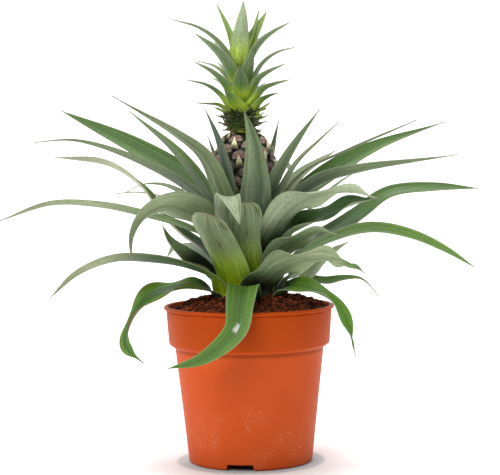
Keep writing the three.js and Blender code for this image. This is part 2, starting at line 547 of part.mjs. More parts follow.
// A closed blade: two faces a blade apart over the same strips, drawn to one point at the tip
function blade(frames, shape, segments, strips, thickness) {
  const positions = [];
  const triangles = [];
  const wide = strips + 1;
  for (let i = 0; i < segments; i += 1) {
    const t = i / segments;
    const { spot, along, across } = midribAt(frames, t);
    const up = along.clone().cross(across);
    const twist = shape.twist(t);
    const side = across.clone().multiplyScalar(Math.cos(twist)).addScaledVector(up, Math.sin(twist));
    const lift = up.clone().multiplyScalar(Math.cos(twist)).addScaledVector(across, -Math.sin(twist));
    const halfAngle = shape.cup(t);
    const arc = shape.width(t) / 2 / halfAngle;
    for (const face of [1, -1]) {
      for (let j = 0; j < wide; j += 1) {
        const v = 2 * j / strips - 1;
        const bend = v * halfAngle;
        const inner = arc - face * thickness / 2;
        const sideways = inner * Math.sin(bend);
        const height = arc - inner * Math.cos(bend) + shape.ripple(t, v);
        const point = spot.clone().addScaledVector(side, sideways).addScaledVector(lift, height);
        positions.push(point.x, point.y, point.z);
      }
    }
  }
  const { spot: tip } = midribAt(frames, 1);
  positions.push(tip.x, tip.y, tip.z);
  const end = segments * 2 * wide;
  const top = (i, j) => i * 2 * wide + j;
  const under = (i, j) => top(i, j) + wide;
  for (let j = 0; j < strips; j += 1) {
    for (let i = 0; i < segments - 1; i += 1) {
      triangles.push(top(i, j), top(i + 1, j), top(i + 1, j + 1));
      triangles.push(top(i, j), top(i + 1, j + 1), top(i, j + 1));
      triangles.push(under(i, j), under(i + 1, j + 1), under(i + 1, j));
      triangles.push(under(i, j), under(i, j + 1), under(i + 1, j + 1));
    }
    triangles.push(top(segments - 1, j), end, top(segments - 1, j + 1));
    triangles.push(under(segments - 1, j), under(segments - 1, j + 1), end);
    triangles.push(top(0, j), top(0, j + 1), under(0, j + 1));
    triangles.push(top(0, j), under(0, j + 1), under(0, j));
  }
  for (let i = 0; i < segments - 1; i += 1) {
    triangles.push(top(i, strips), top(i + 1, strips), under(i + 1, strips));
    triangles.push(top(i, strips), under(i + 1, strips), under(i, strips));
    triangles.push(top(i + 1, 0), top(i, 0), under(i, 0));
    triangles.push(top(i + 1, 0), under(i, 0), under(i + 1, 0));
  }
  triangles.push(top(segments - 1, strips), end, under(segments - 1, strips));
  triangles.push(end, top(segments - 1, 0), under(segments - 1, 0));
  const geometry = new THREE.BufferGeometry();
  geometry.setAttribute('position', new THREE.Float32BufferAttribute(positions, 3));
  geometry.setIndex(triangles);
  return geometry;
}

function taper(t, [bluntness, fall]) {
  return Math.max(0, 1 - t ** bluntness) ** fall;
}

// Leaves wrap the stem in layers: each root stands one layer outside every root it overlaps
function rootRadii() {
  const radii = [];
  const halfTurn = (width, radius) => Math.min(width, ROOT_SPREAD * radius) / 2 / radius;
  LEAVES.forEach(([, angle, width], k) => {
    let radius = ROOT_FIRST_RADIUS;
    for (let j = 0; j < k; j += 1) {
      const apart = Math.abs(THREE.MathUtils.euclideanModulo(angle - LEAVES[j][1] + 180, 360) - 180);
      const reach = halfTurn(LEAVES[j][2], radii[j]) + halfTurn(width, radius) + ROOT_MARGIN;
      if (radians(apart) < reach) {
        radius = Math.max(radius, radii[j] + ROOT_LAYER);
      }
    }
    radii.push(radius);
  });
  return radii;
}

function leafBody(row, radius) {
  const [, angleDegrees, widest, cupDegrees, twistMiddle, twistTip, wave, narrowing, points] = row;
  const angle = radians(angleDegrees);
  const outward = new THREE.Vector3(Math.cos(angle), Math.sin(angle), 0);
  const side = new THREE.Vector3(-Math.sin(angle), Math.cos(angle), 0);
  const rootZ = ROOT_TOP - ROOT_SLOPE * (radius - ROOT_FIRST_RADIUS);
  const lift = ROOT_LIFT - ROOT_LIFT_LOSS * (radius - ROOT_FIRST_RADIUS);
  const root = outward.clone().multiplyScalar(radius).setZ(rootZ);
  const sheath = outward.clone().multiplyScalar(radius + ROOT_LEAN).setZ(rootZ + lift);
  const free = points.map((point) => new THREE.Vector3(...point));
  const frames = midrib([root, sheath, ...free], side);
  const rootWidth = Math.min(widest, ROOT_SPREAD * radius);
  const rootCup = rootWidth / 2 / radius;
  const [waveHeight, waves, waveStart, waveLead] = wave;
  const shape = {
    width(t) {
      const full = rootWidth + (widest - rootWidth) * smooth(t, ...WIDENS);
      return Math.max(LEAST_WIDTH, full * taper(t, narrowing));
    },
    cup(t) {
      const opened = rootCup + (radians(cupDegrees) - rootCup) * smooth(t, ...OPENS);
      return opened * (1 - TIP_CUP_LOSS * smooth(t, ...FLATTENS));
    },
    twist(t) {
      const early = twistMiddle * smooth(t, ...TWISTS_FIRST);
      return radians(early + (twistTip - twistMiddle) * smooth(t, ...TWISTS_LAST));
    },
    ripple(t, v) {
      const fade = smooth(t, ...WAVES_RISE) * (1 - smooth(t, ...WAVES_FADE));
      const phase = 2 * Math.PI * (waves * t + waveStart) + (v < 0 ? 0 : waveLead);
      return waveHeight * fade * Math.abs(v) ** WAVE_POWER * Math.sin(phase);
    },
  };
  return blade(frames, shape, LEAF_SEGMENTS, LEAF_STRIPS, BLADE);
}

// A crown leaf starts inside the core and leaves it rising
function crownLeaf(width, points, segments) {
  const free = points.map((point) => new THREE.Vector3(...point));
  const outward = free[0].clone().setX(free[0].x - CROWN_X).setZ(0).normalize();
  const side = new THREE.Vector3(-outward.y, outward.x, 0);
  const rootZ = Math.max(free[0].z - 2 * CORE_SINK, CROWN_FOOT + CORE_SINK / 2);
  const root = new THREE.Vector3(CROWN_X, 0, rootZ).addScaledVector(outward, CORE_SINK);
  const frames = midrib([root, ...free], side);
  const shape = {
    width(t) {
      const full = CROWN_ROOT_SHARE + (1 - CROWN_ROOT_SHARE) * smooth(t, ...CROWN_WIDENS);
      return Math.max(LEAST_WIDTH, width * full * taper(t, CROWN_TAPER));
    },
    cup: (t) => radians(CROWN_CUP) * (1 - TIP_CUP_LOSS * smooth(t, ...CROWN_FLATTENS)),
    twist: () => 0,
    ripple: () => 0,
  };
  return blade(frames, shape, segments, CROWN_STRIPS, CROWN_BLADE);
}

function crownBody() {
  const profile = [
    [0, CROWN_FOOT],
    ...CORE_PROFILE.map(([r, z]) => [r, CROWN_FOOT + z]),
    [0, CROWN_FOOT + CORE_TIP_HEIGHT],
  ];
  let body = toSolid(turned(profile, CORE_SIDES).translate(CROWN_X, 0, 0));
  const grow = (width, points, segments) => {
    body = body.add(toSolid(crownLeaf(width, points, segments)));
  };
  for (const [width, points] of CROWN_LEAVES) {
    grow(width, points, CROWN_SEGMENTS);
  }
  const around = (angle, radius, z) => [
    CROWN_X + radius * Math.cos(angle),
    radius * Math.sin(angle),
    z,
  ];
  for (let k = 0; k < FAR_COUNT; k += 1) {
    const angle = radians(FAR_MIDDLE_ANGLE + FAR_SPREAD * Math.sin(radians(FAR_TURN * k)));
    const z = FAR_FIRST_Z + FAR_STEP * k;
    const points = [
      around(angle, FAR_START, z),
      around(angle, FAR_REACH * FAR_BEND_REACH, z + FAR_RISE * FAR_BEND_RISE),
      around(angle, FAR_REACH, z + FAR_RISE),
    ];
    grow(FAR_WIDTH, points, CROWN_SEGMENTS);
  }
  SPIKE_RINGS.forEach(([height, reach, rise], ring) => {
    for (let k = 0; k < SPIKES_A_RING; k += 1) {
      const angle = 2 * Math.PI * (k + ring / SPIKE_RINGS.length) / SPIKES_A_RING;
      const z = CROWN_FOOT + height;
      const points = [around(angle, SPIKE_START, z), around(angle, reach, z + rise)];
      grow(SPIKE_WIDTH, points, SPIKE_SEGMENTS);
    }
  });
  return withoutHollows(toGeometry(body));
}

const plant = new THREE.Group();
plant.name = 'potted_pineapple_plant';
plant.add(named('pot', potBody(), LOOKS.pot));
plant.add(named('soil', soilBody(), LOOKS.soil));
plant.add(named('stem', stemBody(), LOOKS.stem));
plant.add(named('fruit', fruitBody(), LOOKS.fruit));
plant.add(named('crown', crownBody(), LOOKS.crown));
const radii = rootRadii();
LEAVES.forEach((row, k) => {
  const [name] = row;
  const look = GREEN_LEAVES.includes(name) ? LOOKS.greenLeaf : LOOKS.silverLeaf;
  plant.add(named(name, toGeometry(toSolid(leafBody(row, radii[k]))), look));
});

export default plant;
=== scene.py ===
# A pineapple plant with a small crowned fruit, standing in its nursery pot.
# Sizes are metres unless a name ends in _MM; +Z is up and the front of the plant faces -Y.

import math
import random

import bpy
import bmesh
from mathutils import Matrix, Vector, noise


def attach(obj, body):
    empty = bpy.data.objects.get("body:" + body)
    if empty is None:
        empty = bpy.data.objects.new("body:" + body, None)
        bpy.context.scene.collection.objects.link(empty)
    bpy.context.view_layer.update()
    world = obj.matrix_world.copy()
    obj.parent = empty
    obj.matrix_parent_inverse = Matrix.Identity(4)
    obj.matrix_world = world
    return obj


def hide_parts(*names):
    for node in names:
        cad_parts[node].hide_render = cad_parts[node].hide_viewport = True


bl_info = {
    "name": "Potted Pineapple Plant",
    "version": (1, 0, 0),
    "blender": (4, 5, 0),
    "location": "3D View > Sidebar > Plant",
    "description": "Builds a potted pineapple plant around its solid model",
    "category": "Add Mesh",
}

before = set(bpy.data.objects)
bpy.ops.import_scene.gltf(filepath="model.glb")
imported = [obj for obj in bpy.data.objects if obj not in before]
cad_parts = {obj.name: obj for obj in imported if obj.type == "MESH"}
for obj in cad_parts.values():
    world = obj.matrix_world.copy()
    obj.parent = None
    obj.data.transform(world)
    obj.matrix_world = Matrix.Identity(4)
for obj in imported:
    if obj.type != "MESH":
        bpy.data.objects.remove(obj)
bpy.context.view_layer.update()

MM = 0.001


def to_linear(code):
    """An sRGB hex colour as three linear values."""
    values = [int(code[k : k + 2], 16) / 255 for k in (1, 3, 5)]
    return tuple(v / 12.92 if v <= 0.04045 else ((v + 0.055) / 1.055) ** 2.4 for v in values)


def smooth(value, low, high):
    """0 before low, 1 after high, and an even S between them."""
    share = min(1.0, max(0.0, (value - low) / (high - low)))
    return share * share * (3 - 2 * share)


def mixed(first, second, share):
    """A colour between two colours."""
    return tuple(a + (b - a) * share for a, b in zip(first, second))


def colour_property(name, description, code):
    return bpy.props.FloatVectorProperty(
        name=name, description=description, subtype="COLOR", size=3,
        min=0.0, max=1.0, default=to_linear(code),
    )


def length_property(name, description, millimetres):
    return bpy.props.FloatProperty(
        name=name, description=description, subtype="DISTANCE", unit="LENGTH",
        min=0.0, default=millimetres * MM,
    )


def power_property(name, description, watts):
    return bpy.props.FloatProperty(
        name=name, description=description, unit="POWER", min=0.0, default=watts
    )


class PotSettings(bpy.types.PropertyGroup):
    colour: colour_property("Plastic", "Colour of the moulded pot", "#d25724")
    # The collar's colour is a painted shade: darker than the body, where the leaves shade it
    collar: colour_property("Collar", "Colour of the collar, rubbed clean", "#ba480f")
    dust: colour_property("Dust", "Colour of the dry splashes on the pot", "#dc9a78")
    wall: length_property("Wall", "Thickness of the pot's wall", 1.2)


class SoilSettings(bpy.types.PropertyGroup):
    light: colour_property("Dry Coir", "Colour of the dry crumbs", "#b3562c")
    dark: colour_property("Wet Peat", "Colour of the soil in its hollows", "#1f0e08")
    crumb: length_property("Crumb", "Size of a usual crumb", 2.2)
    crumbs: bpy.props.IntProperty(
        name="Crumbs", description="How many loose crumbs lie on the soil", min=0, default=1900
    )


class LeafSettings(bpy.types.PropertyGroup):
    silver: colour_property("Silver", "Grey green of a leaf under its bloom", "#75885f")
    # Partly painted shade: the inner part of most leaves is this darker grey, the leaf's own mauve grey
    # deepened to stand for the shade near the heart
    ash: colour_property("Ash", "Grey with a touch of mauve, near the heart", "#5e6d5d")
    green: colour_property("Green", "Upper face of a green leaf", "#577e36")
    deep: colour_property("Deep Green", "Upper face of a shaded leaf", "#2f4d27")
    # Painted shade: a near black green that stands for the deep shade inside the rosette
    painted_shade_green: colour_property("Darkest Green", "Upper face of a leaf deep in the rosette", "#16220f")
    fresh: colour_property("Fresh Green", "Upper face of a low leaf", "#5f8c2a")
    pale: colour_property("Pale Underside", "Underside with a full bloom", "#96a47c")
    cream: colour_property("Cream", "Bleached outer part of an old leaf", "#b2b596")
    sheath: colour_property("Sheath", "Yellow green of a leaf's foot", "#a6c40a")
    margin: colour_property("Margin", "Red brown of a leaf's edge", "#744527")
    mark: colour_property("Mark", "Olive brown of old scratches", "#403c16")
    bloom: colour_property("Bloom", "Pale wax where it lies thickest", "#a9b793")
    thickness: length_property("Thickness", "Thickness of a blade", 0.62)


class FruitSettings(bpy.types.PropertyGroup):
    eye: colour_property("Eye", "Skin between the eyes, olive to black", "#2c2a14")
    sepal: colour_property("Sepal", "Grey mauve of the three flaps on an eye", "#86756a")
    rim: colour_property("Flap Rim", "Pale dry rim of a flap", "#d2c3ae")
    ray: colour_property("Ray", "Red orange line down a flap", "#a8431f")
    bract: colour_property("Bract", "Green of the bract under each eye", "#6f7433")
    tip: colour_property("Bract Tip", "Dry cream tip of a bract", "#f2e4bc")
    eye_size: length_property("Eye Size", "Width of one eye", 12.0)


class CrownSettings(bpy.types.PropertyGroup):
    blade: colour_property("Blade", "Grey green of the crown's leaves", "#7b9063")
    fresh: colour_property("Young Blade", "Bright green of the young leaves", "#a4c266")
    flank: colour_property("Flank", "Strong green above a crown leaf's foot", "#5b8a26")
    foot: colour_property("Foot", "Yellow green at a crown leaf's foot", "#c6e43a")
    top: colour_property("Top Blade", "Pale green of the crown's middle leaf", "#abbe90")
    dark: colour_property("Spike", "Dark green of the crown's lowest leaves", "#2b4019")
    edge: colour_property("Blade Edge", "Pale dry edge of a crown leaf", "#b7b393")


class StageSettings(bpy.types.PropertyGroup):
    floor: colour_property("Floor", "Paper the pot stands on", "#f4f4f4")
    # Painted contact shadow: the cool grey of the paper round the foot
    painted_contact_shadow: colour_property("Pressed Paper", "Cool grey of the paper round the foot", "#ccd4d7")
    key: power_property("Key Light", "Power of the front left softbox", 23.5)
    fill: power_property("Fill Light", "Power of the left softbox", 6.8)


# Modelling helpers


def clear_selection():
    if bpy.context.object and bpy.context.object.mode != "OBJECT":
        bpy.ops.object.mode_set(mode="OBJECT")
    bpy.ops.object.select_all(action="DESELECT")


def pick(piece):
    clear_selection()
    bpy.context.view_layer.objects.active = piece
    piece.select_set(True)


def name_piece(piece, name):
    piece.name = name
    piece.data.name = name


def turned_body(name, profile, sides):
    """A solid of revolution grown ring by ring from a circle; profile is (radius, height) in mm."""
    clear_selection()
    first_radius, first_height = profile[0]
    bpy.ops.mesh.primitive_circle_add(
        vertices=sides, radius=first_radius * MM, fill_type="NGON", enter_editmode=True
    )
    bpy.ops.transform.translate(value=(0, 0, first_height * MM))
    for (radius, height), (next_radius, next_height) in zip(profile, profile[1:]):
        rise = (next_height - height) * MM
        bpy.ops.mesh.extrude_region_move(TRANSFORM_OT_translate={"value": (0, 0, rise)})
        scale = next_radius / radius
        bpy.ops.transform.resize(
            value=(scale, scale, 1), center_override=(0, 0, next_height * MM)
        )
    bpy.ops.mesh.select_all(action="SELECT")
    bpy.ops.mesh.normals_make_consistent(inside=False)
    bpy.ops.object.mode_set(mode="OBJECT")
    piece = bpy.context.object
    name_piece(piece, name)
    return piece


def apply_modifier(piece, kind, **settings):
    pick(piece)
    modifier = piece.modifiers.new(kind.title(), kind)
    for key, value in settings.items():
        setattr(modifier, key, value)
    bpy.ops.object.modifier_apply(modifier=modifier.name)


def thin_sheet(name, rows, columns, thickness, place_at):
    """A flat grid moved point by point and given a thickness, with the place of each point on it.

    t runs from 0 to 1 along the sheet and v from -1 to 1 across it; a place is t, v and whether
    the point is on the upper face."""
    clear_selection()
    bpy.ops.mesh.primitive_grid_add(x_subdivisions=columns, y_subdivisions=rows, size=1)
    sheet = bpy.context.object
    name_piece(sheet, name)
    flat = [(vertex.co.y + 0.5, 2 * vertex.co.x) for vertex in sheet.data.vertices]
    for vertex, (t, v) in zip(sheet.data.vertices, flat):
        vertex.co = place_at(t, v)
    apply_modifier(sheet, "SOLIDIFY", thickness=thickness, offset=0.0)
    return sheet, [(t, v, upper) for upper in (False, True) for t, v in flat]


def cut_away(piece, cutter):
    """Takes the cutter's shape out of a piece and removes the cutter."""
    apply_modifier(piece, "BOOLEAN", operation="DIFFERENCE", solver="EXACT", object=cutter)
    bpy.data.objects.remove(cutter)


def soften(piece, degrees):
    """Shades a piece smooth, apart from edges sharper than the angle."""
    pick(piece)
    bpy.ops.object.shade_smooth_by_angle(angle=math.radians(degrees))


def joined(name, pieces):
    clear_selection()
    for piece in pieces:
        piece.select_set(True)
    bpy.context.view_layer.objects.active = pieces[0]
    bpy.ops.object.join()
    name_piece(bpy.context.object, name)
    return bpy.context.object


def put_on(piece, slot, material, *nodes):
    """Gives a piece its material and its body, and hides the solids that it stands for; the slot is not
    used.
    """
    piece.data.materials.clear()
    piece.data.materials.append(material)
    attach(piece, "root")
    if nodes:
        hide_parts(*nodes)


def paint(piece, name, values):
    """Writes one colour for each point of a mesh."""
    layer = piece.data.color_attributes.new(name=name, type="FLOAT_COLOR", domain="POINT")
    layer.data.foreach_set("color", [channel for value in values for channel in value])


def set_shares(piece, name, values):
    """Writes one number for each point of a mesh."""
    layer = piece.data.attributes.new(name=name, type="FLOAT", domain="POINT")
    layer.data.foreach_set("value", values)


# Material helpers

NOISE, RANGE, MIX = "ShaderNodeTexNoise", "ShaderNodeMapRange", "ShaderNodeMix"
MATH, VECTOR_MATH, BUMP = "ShaderNodeMath", "ShaderNodeVectorMath", "ShaderNodeBump"
COORDINATES, ATTRIBUTE, SEPARATE = "ShaderNodeTexCoord", "ShaderNodeAttribute", "ShaderNodeSeparateXYZ"
SMOOTHLY, COLOURS = {"interpolation_type": "SMOOTHSTEP"}, {"data_type": "RGBA"}


def feed(node, inputs):
    """Gives a node's inputs, named or in their order, their values and links."""
    for key, value in inputs.items() if isinstance(inputs, dict) else enumerate(inputs):
        if isinstance(value, bpy.types.NodeSocket):
            node.id_data.links.new(value, node.inputs[key])
        else:
            node.inputs[key].default_value = value


def add_node(tree, kind, output, inputs=(), **settings):
    """Adds one node with its settings, values and links, and gives one of its outputs.

    The inputs of a range are its value, the two ends it comes from and the two it goes to."""
    node = tree.nodes.new(kind)
    for key, value in settings.items():
        setattr(node, key, value)
    feed(node, inputs)
    return node.outputs[output]


def new_material(name):
    """A new material, its nodes and its shader."""
    material = bpy.data.materials.new(name)
    material.use_nodes = True
    tree = material.node_tree
    return material, tree, tree.nodes["Principled BSDF"]


def scaled_by(tree, share, *ranges):
    """A share multiplied by each value in turn, once that is brought into its range."""
    for row in ranges:
        part = add_node(tree, RANGE, "Result", row)
        share = add_node(tree, MATH, "Value", [share, part], operation="MULTIPLY")
    return share


def per_mm(size):
    """Noise scale that gives features about this many millimetres wide."""
    return 1 / (size * MM)


def rgba(colour):
    return (*colour, 1.0)


# Materials of the plant, the pot and the stage

# Heights on the pot in metres: where its splashes, its painted corner shade and its painted collar shade
# begin and end
SPLASHES_END, SPLASHES_FULL = 0.06, 0.03
CORNER_SHADE_FROM, CORNER_SHADE_FULL, CORNER_SHADE_TO, CORNER_SHADE_END = 0.0775, 0.0806, 0.0812, 0.0822
COLLAR_FROM, COLLAR_FULL = 0.0822, 0.0834
POLYPROPYLENE_IOR, CUTICLE_IOR = 1.49, 1.45
BLACK, WHITE = (0, 0, 0), (1, 1, 1)
# The values of a noise mostly lie between these
SPAN = (0.3, 0.7)


def moulded_polypropylene(settings):
    """Terracotta-coloured polypropylene, injection moulded: satin, with dried splashes and dust."""
    material, tree, shader = new_material("moulded_polypropylene")
    place = add_node(tree, COORDINATES, "Object")
    height = add_node(tree, SEPARATE, "Z", [place])
    cloud = add_node(tree, NOISE, "Fac", {"Vector": place, "Scale": per_mm(24), "Detail": 3.0})
    body = add_node(
        tree, MIX, "Result",
        {"Factor": cloud, "A": rgba(mixed(settings.colour, BLACK, 0.1)), "B": rgba(settings.colour)},
        **COLOURS,
    )
    # Painted shade: the collar is a deeper, darker red than the body, standing for the shade that the
    # leaves cast on it
    collar_shade_share = add_node(tree, RANGE, "Result", [height, COLLAR_FROM, COLLAR_FULL])
    tone = add_node(
        tree, MIX, "Result", {"Factor": collar_shade_share, "A": body, "B": rgba(settings.collar)}, **COLOURS
    )
    # Painted shade: the corner under the collar is darkened nearly to black
    rising = add_node(tree, RANGE, "Result", [height, CORNER_SHADE_FROM, CORNER_SHADE_FULL, 0.0, 0.5], **SMOOTHLY)
    corner = scaled_by(tree, rising, [height, CORNER_SHADE_TO, CORNER_SHADE_END, 1.0, 0.0])
    corner_shade_tone = rgba(mixed(settings.colour, BLACK, 0.8))
    corner_shaded = add_node(tree, MIX, "Result", {"Factor": corner, "A": tone, "B": corner_shade_tone}, **COLOURS)
    # A film of dust on the lower half, and in it faint dried splashes under a millimetre wide
    dots = add_node(tree, NOISE, "Fac", {"Vector": place, "Scale": per_mm(1.1), "Detail": 2.0})
    low = add_node(tree, RANGE, "Result", [height, SPLASHES_END, SPLASHES_FULL], **SMOOTHLY)
    cloudy = add_node(tree, RANGE, "Result", [cloud, 0.5, 0.62], **SMOOTHLY)
    spotted = add_node(tree, RANGE, "Result", [dots, 0.6, 0.7, 0.03, 0.73], **SMOOTHLY)
    gathered = add_node(tree, MATH, "Value", [low, cloudy], operation="MULTIPLY")
    dusty = add_node(tree, MATH, "Value", [gathered, spotted], operation="MULTIPLY")
    colour = add_node(
        tree, MIX, "Result", {"Factor": dusty, "A": corner_shaded, "B": rgba(settings.dust)}, **COLOURS
    )
    grain = add_node(tree, NOISE, "Fac", {"Vector": place, "Scale": per_mm(0.9), "Detail": 2.0})
    feed(shader, {
        "Base Color": colour,
        "Roughness": add_node(tree, RANGE, "Result", [cloud, 0.0, 1.0, 0.42, 0.55]),
        "Normal": add_node(
            tree, BUMP, "Normal", {"Height": grain, "Strength": 0.12, "Distance": 0.0001}
        ),
        "IOR": POLYPROPYLENE_IOR,
        "Specular IOR Level": 0.07,
    })
    return material


def coir_and_peat(settings):
    """Loose coir and peat: matt red-brown crumbs, nearly black where it stays wet."""
    material, tree, shader = new_material("coir_and_peat")
    place = add_node(tree, COORDINATES, "Object")
    tint = add_node(tree, ATTRIBUTE, "Color", attribute_name="tint")
    crumbs = add_node(tree, NOISE, "Fac", {"Vector": place, "Scale": per_mm(2.2), "Detail": 4.0})
    dry = add_node(tree, RANGE, "Result", [crumbs, 0.35, 0.68])
    fine = add_node(tree, NOISE, "Fac", {"Vector": place, "Scale": per_mm(0.8), "Detail": 4.0})
    feed(shader, {
        "Base Color": add_node(
            tree, MIX, "Result", {"Factor": dry, "A": rgba(settings.dark), "B": tint}, **COLOURS
        ),
        "Normal": add_node(
            tree, BUMP, "Normal", {"Height": fine, "Strength": 0.7, "Distance": 0.0006}
        ),
        "Roughness": 0.92,
        "Specular IOR Level": 0.25,
    })
    return material


def waxy_leaf(name, settings, vein_count, bloom):
    """Leaf skin under a grey bloom: lengthwise veins and bands, thin dry edges, old scratches."""
    material, tree, shader = new_material(name)
    place = add_node(tree, COORDINATES, "Object")
    spot = add_node(tree, "ShaderNodeUVMap", "UV", uv_map="UVMap")
    tint = add_node(tree, ATTRIBUTE, "Color", attribute_name="tint")
    dryness = tint.node.outputs["Alpha"]
    marked = add_node(tree, ATTRIBUTE, "Fac", attribute_name="marks")
    bloomed = add_node(tree, ATTRIBUTE, "Fac", attribute_name="bloom")
    # Veins, bands, dashes and their places are noises drawn out along the leaf: how many lie across
    # its width and along its length, where each noise starts and how fine it is
    streaks = []
    for across, along, start, detail in (
        (vein_count, 5.0, 0.0, 2.0), (vein_count / 6, 1.2, 3.1, 2.0),
        (vein_count * 0.7, 3.5, 9.4, 1.0), (vein_count / 9, 2.2, 5.3, 1.0),
    ):
        stretched = add_node(
            tree, "ShaderNodeMapping", "Vector",
            {"Vector": spot, "Scale": (across, along, 1.0), "Location": (start, start, 0.0)},
        )
        streaks.append(
            add_node(tree, NOISE, "Fac", {"Vector": stretched, "Scale": 1.0, "Detail": detail})
        )
    veins, bands, dashes, places = streaks
    patches = add_node(tree, NOISE, "Fac", {"Vector": place, "Scale": per_mm(20), "Detail": 2.0})
    # Tiny scales on the skin give a fine grain
    grain = add_node(tree, NOISE, "Fac", {"Vector": place, "Scale": per_mm(1.5), "Detail": 2.0})
    bright = scaled_by(
        tree, add_node(tree, RANGE, "Result", [veins, *SPAN, 0.8, 1.16]),
        [patches, *SPAN, 0.92, 1.08], [bands, *SPAN, 0.78, 1.18], [grain, *SPAN, 0.83, 1.14],
    )
    shaded = add_node(tree, VECTOR_MATH, "Vector", {0: tint, "Scale": bright}, operation="SCALE")
    # Bloom rubbed off in lengthwise bands
    kept = scaled_by(tree, bloomed, [bands, 0.42, 0.66, 0.0, bloom], [veins, 0.35, 0.65, 0.5, 1.0])
    frosted = add_node(
        tree, MIX, "Result", {"Factor": kept, "A": shaded, "B": rgba(settings.bloom)}, **COLOURS
    )
    # Scratches: short fine dashes along the leaf, in a few places, where it is marked
    scratch = scaled_by(tree, marked, [dashes, 0.6, 0.66], [places, 0.45, 0.55])
    scratched = add_node(
        tree, MIX, "Result", {"Factor": scratch, "A": frosted, "B": rgba(settings.mark)}, **COLOURS
    )
    # Rim: a line along both edges, pale while fresh and brown where dry
    across = add_node(tree, SEPARATE, "X", [spot])
    off_middle = add_node(tree, MATH, "Value", [across, 0.5], operation="SUBTRACT")
    distance = add_node(tree, MATH, "Value", [off_middle], operation="ABSOLUTE")
    rim = add_node(
        tree, MIX, "Result",
        {"Factor": dryness, "A": rgba(settings.bloom), "B": rgba(settings.margin)}, **COLOURS,
    )
    rimmed = add_node(tree, RANGE, "Result", [distance, 0.474, 0.494, 0.0, 0.75])
    ridge = add_node(tree, MATH, "Value", [veins, bands], operation="ADD")
    feed(shader, {
        "Base Color": add_node(
            tree, MIX, "Result", {"Factor": rimmed, "A": scratched, "B": rim}, **COLOURS
        ),
        "Roughness": add_node(tree, RANGE, "Result", [patches, *SPAN, 0.36, 0.5]),
        "Normal": add_node(
            tree, BUMP, "Normal", {"Height": ridge, "Strength": 0.6, "Distance": 0.0004}
        ),
        "IOR": CUTICLE_IOR,
        "Specular IOR Level": 0.45,
    })
    return material


def papery_fruit():
    """Leathery eyes under dry papery bracts: a fine mottle over their colours, and small creases."""
    material, tree, shader = new_material("papery_fruit")
    place = add_node(tree, COORDINATES, "Object")
    tint = add_node(tree, ATTRIBUTE, "Color", attribute_name="tint")
    mottle = add_node(tree, NOISE, "Fac", {"Vector": place, "Scale": per_mm(1.8), "Detail": 4.0})
    bright = add_node(tree, RANGE, "Result", [mottle, *SPAN, 0.72, 1.25])
    feed(shader, {
        "Base Color": add_node(
            tree, VECTOR_MATH, "Vector", {0: tint, "Scale": bright}, operation="SCALE"
        ),
        "Normal": add_node(
            tree, BUMP, "Normal", {"Height": mottle, "Strength": 0.5, "Distance": 0.0004}
        ),
        "Roughness": 0.55,
    })
    return material


# Distances from the pot's middle, in metres
PAPER_DARK, PAPER_BRIGHT = 0.045, 0.12
CONTACT_SHADOW_FROM, CONTACT_SHADOW_TO = 0.05, 0.0545
PAPER_GLOW = 0.35


def matt_paper(settings):
    """Matt background paper: pale, with no grain that shows at this distance, with a painted contact
    shadow round the foot and a painted glow away from the pot.
    """
    material, tree, shader = new_material("matt_paper")
    place = add_node(tree, COORDINATES, "Object")
    fibre = add_node(tree, NOISE, "Fac", {"Vector": place, "Scale": per_mm(60), "Detail": 2.0})
    colour = add_node(
        tree, MIX, "Result",
        {"Factor": fibre, "A": rgba(settings.floor), "B": rgba(mixed(settings.floor, WHITE, 0.2))},
        **COLOURS,
    )
    away = add_node(tree, VECTOR_MATH, "Value", [place], operation="LENGTH")
    # Painted contact shadow: a cool grey rim on the paper round the foot
    painted_contact_shadow = add_node(
        tree, RANGE, "Result", [away, CONTACT_SHADOW_FROM, CONTACT_SHADOW_TO, 1.0, 0.0], **SMOOTHLY
    )
    ground = add_node(
        tree, MIX, "Result", {"Factor": painted_contact_shadow, "A": colour, "B": rgba(settings.painted_contact_shadow)}, **COLOURS
    )
    # Painted light: the paper glows, its emission rising from nothing near the pot to full far from it,
    # so that far off it is pure white and round the foot it stays darker
    painted_glow = add_node(
        tree, RANGE, "Result", [away, PAPER_DARK, PAPER_BRIGHT, 0.0, PAPER_GLOW], **SMOOTHLY
    )
    feed(shader, {
        "Base Color": ground,
        "Emission Color": colour,
        "Emission Strength": painted_glow,
        "Roughness": 0.9,
        "Specular IOR Level": 0.1,
    })
    return material


# Pot

POT_SIDES = 144
FOOT_SLOTS = 3
FOOT_SLOT_START = math.radians(-100)
FOOT_SLOT_MM = {"top": 18, "foot": 21.5, "height": 4.5, "inner": 29, "outer": 62, "below": 6}
DRAIN_HOLES = 6
DRAIN_HOLE_RADIUS_MM = 2.2
DRAIN_RING_MM = 29.5
DRAIN_HOLE_SIDES, DRAIN_HOLE_DEPTH_MM = 24, 20


def pot_profile(wall):
    """Section of the pot from the middle of its underside, out, up, over the rim and down inside."""
    return [
        (2, 0), (26, 0), (26.3, 0.3), (26.8, 2), (32.2, 2), (32.7, 0.3), (33, 0), (41.2, 0),
        (42.4, 0.3), (43.4, 1.1), (43.8, 2.4), (45.7, 20), (48.4, 45), (51, 68), (52.3, 79.6),
        (52.5, 80.7), (52.9, 81.4), (55.7, 83.2), (56.4, 83.8), (56.8, 84.9), (57.5, 95),
        (58.35, 106.7), (58.3, 107.2), (57.95, 107.6), (58.1, 108), (59.4, 108.3),
        (59.95, 108.8), (60, 109.6), (59.85, 110.3), (59.4, 110.6), (57.7, 110.6),
        (57.25, 110.4), (57.1, 110), (58.4 - wall, 100), (56.9 - wall, 85.3),
        (52.6 - wall, 82.1), (48.4 - wall, 45), (43.9 - wall, 2.8), (42.2 - wall, 1.6),
        (34.4, 1.6), (33.6, 3.3), (25.6, 3.3), (24.9, 1.5), (2, 1.5),
    ]


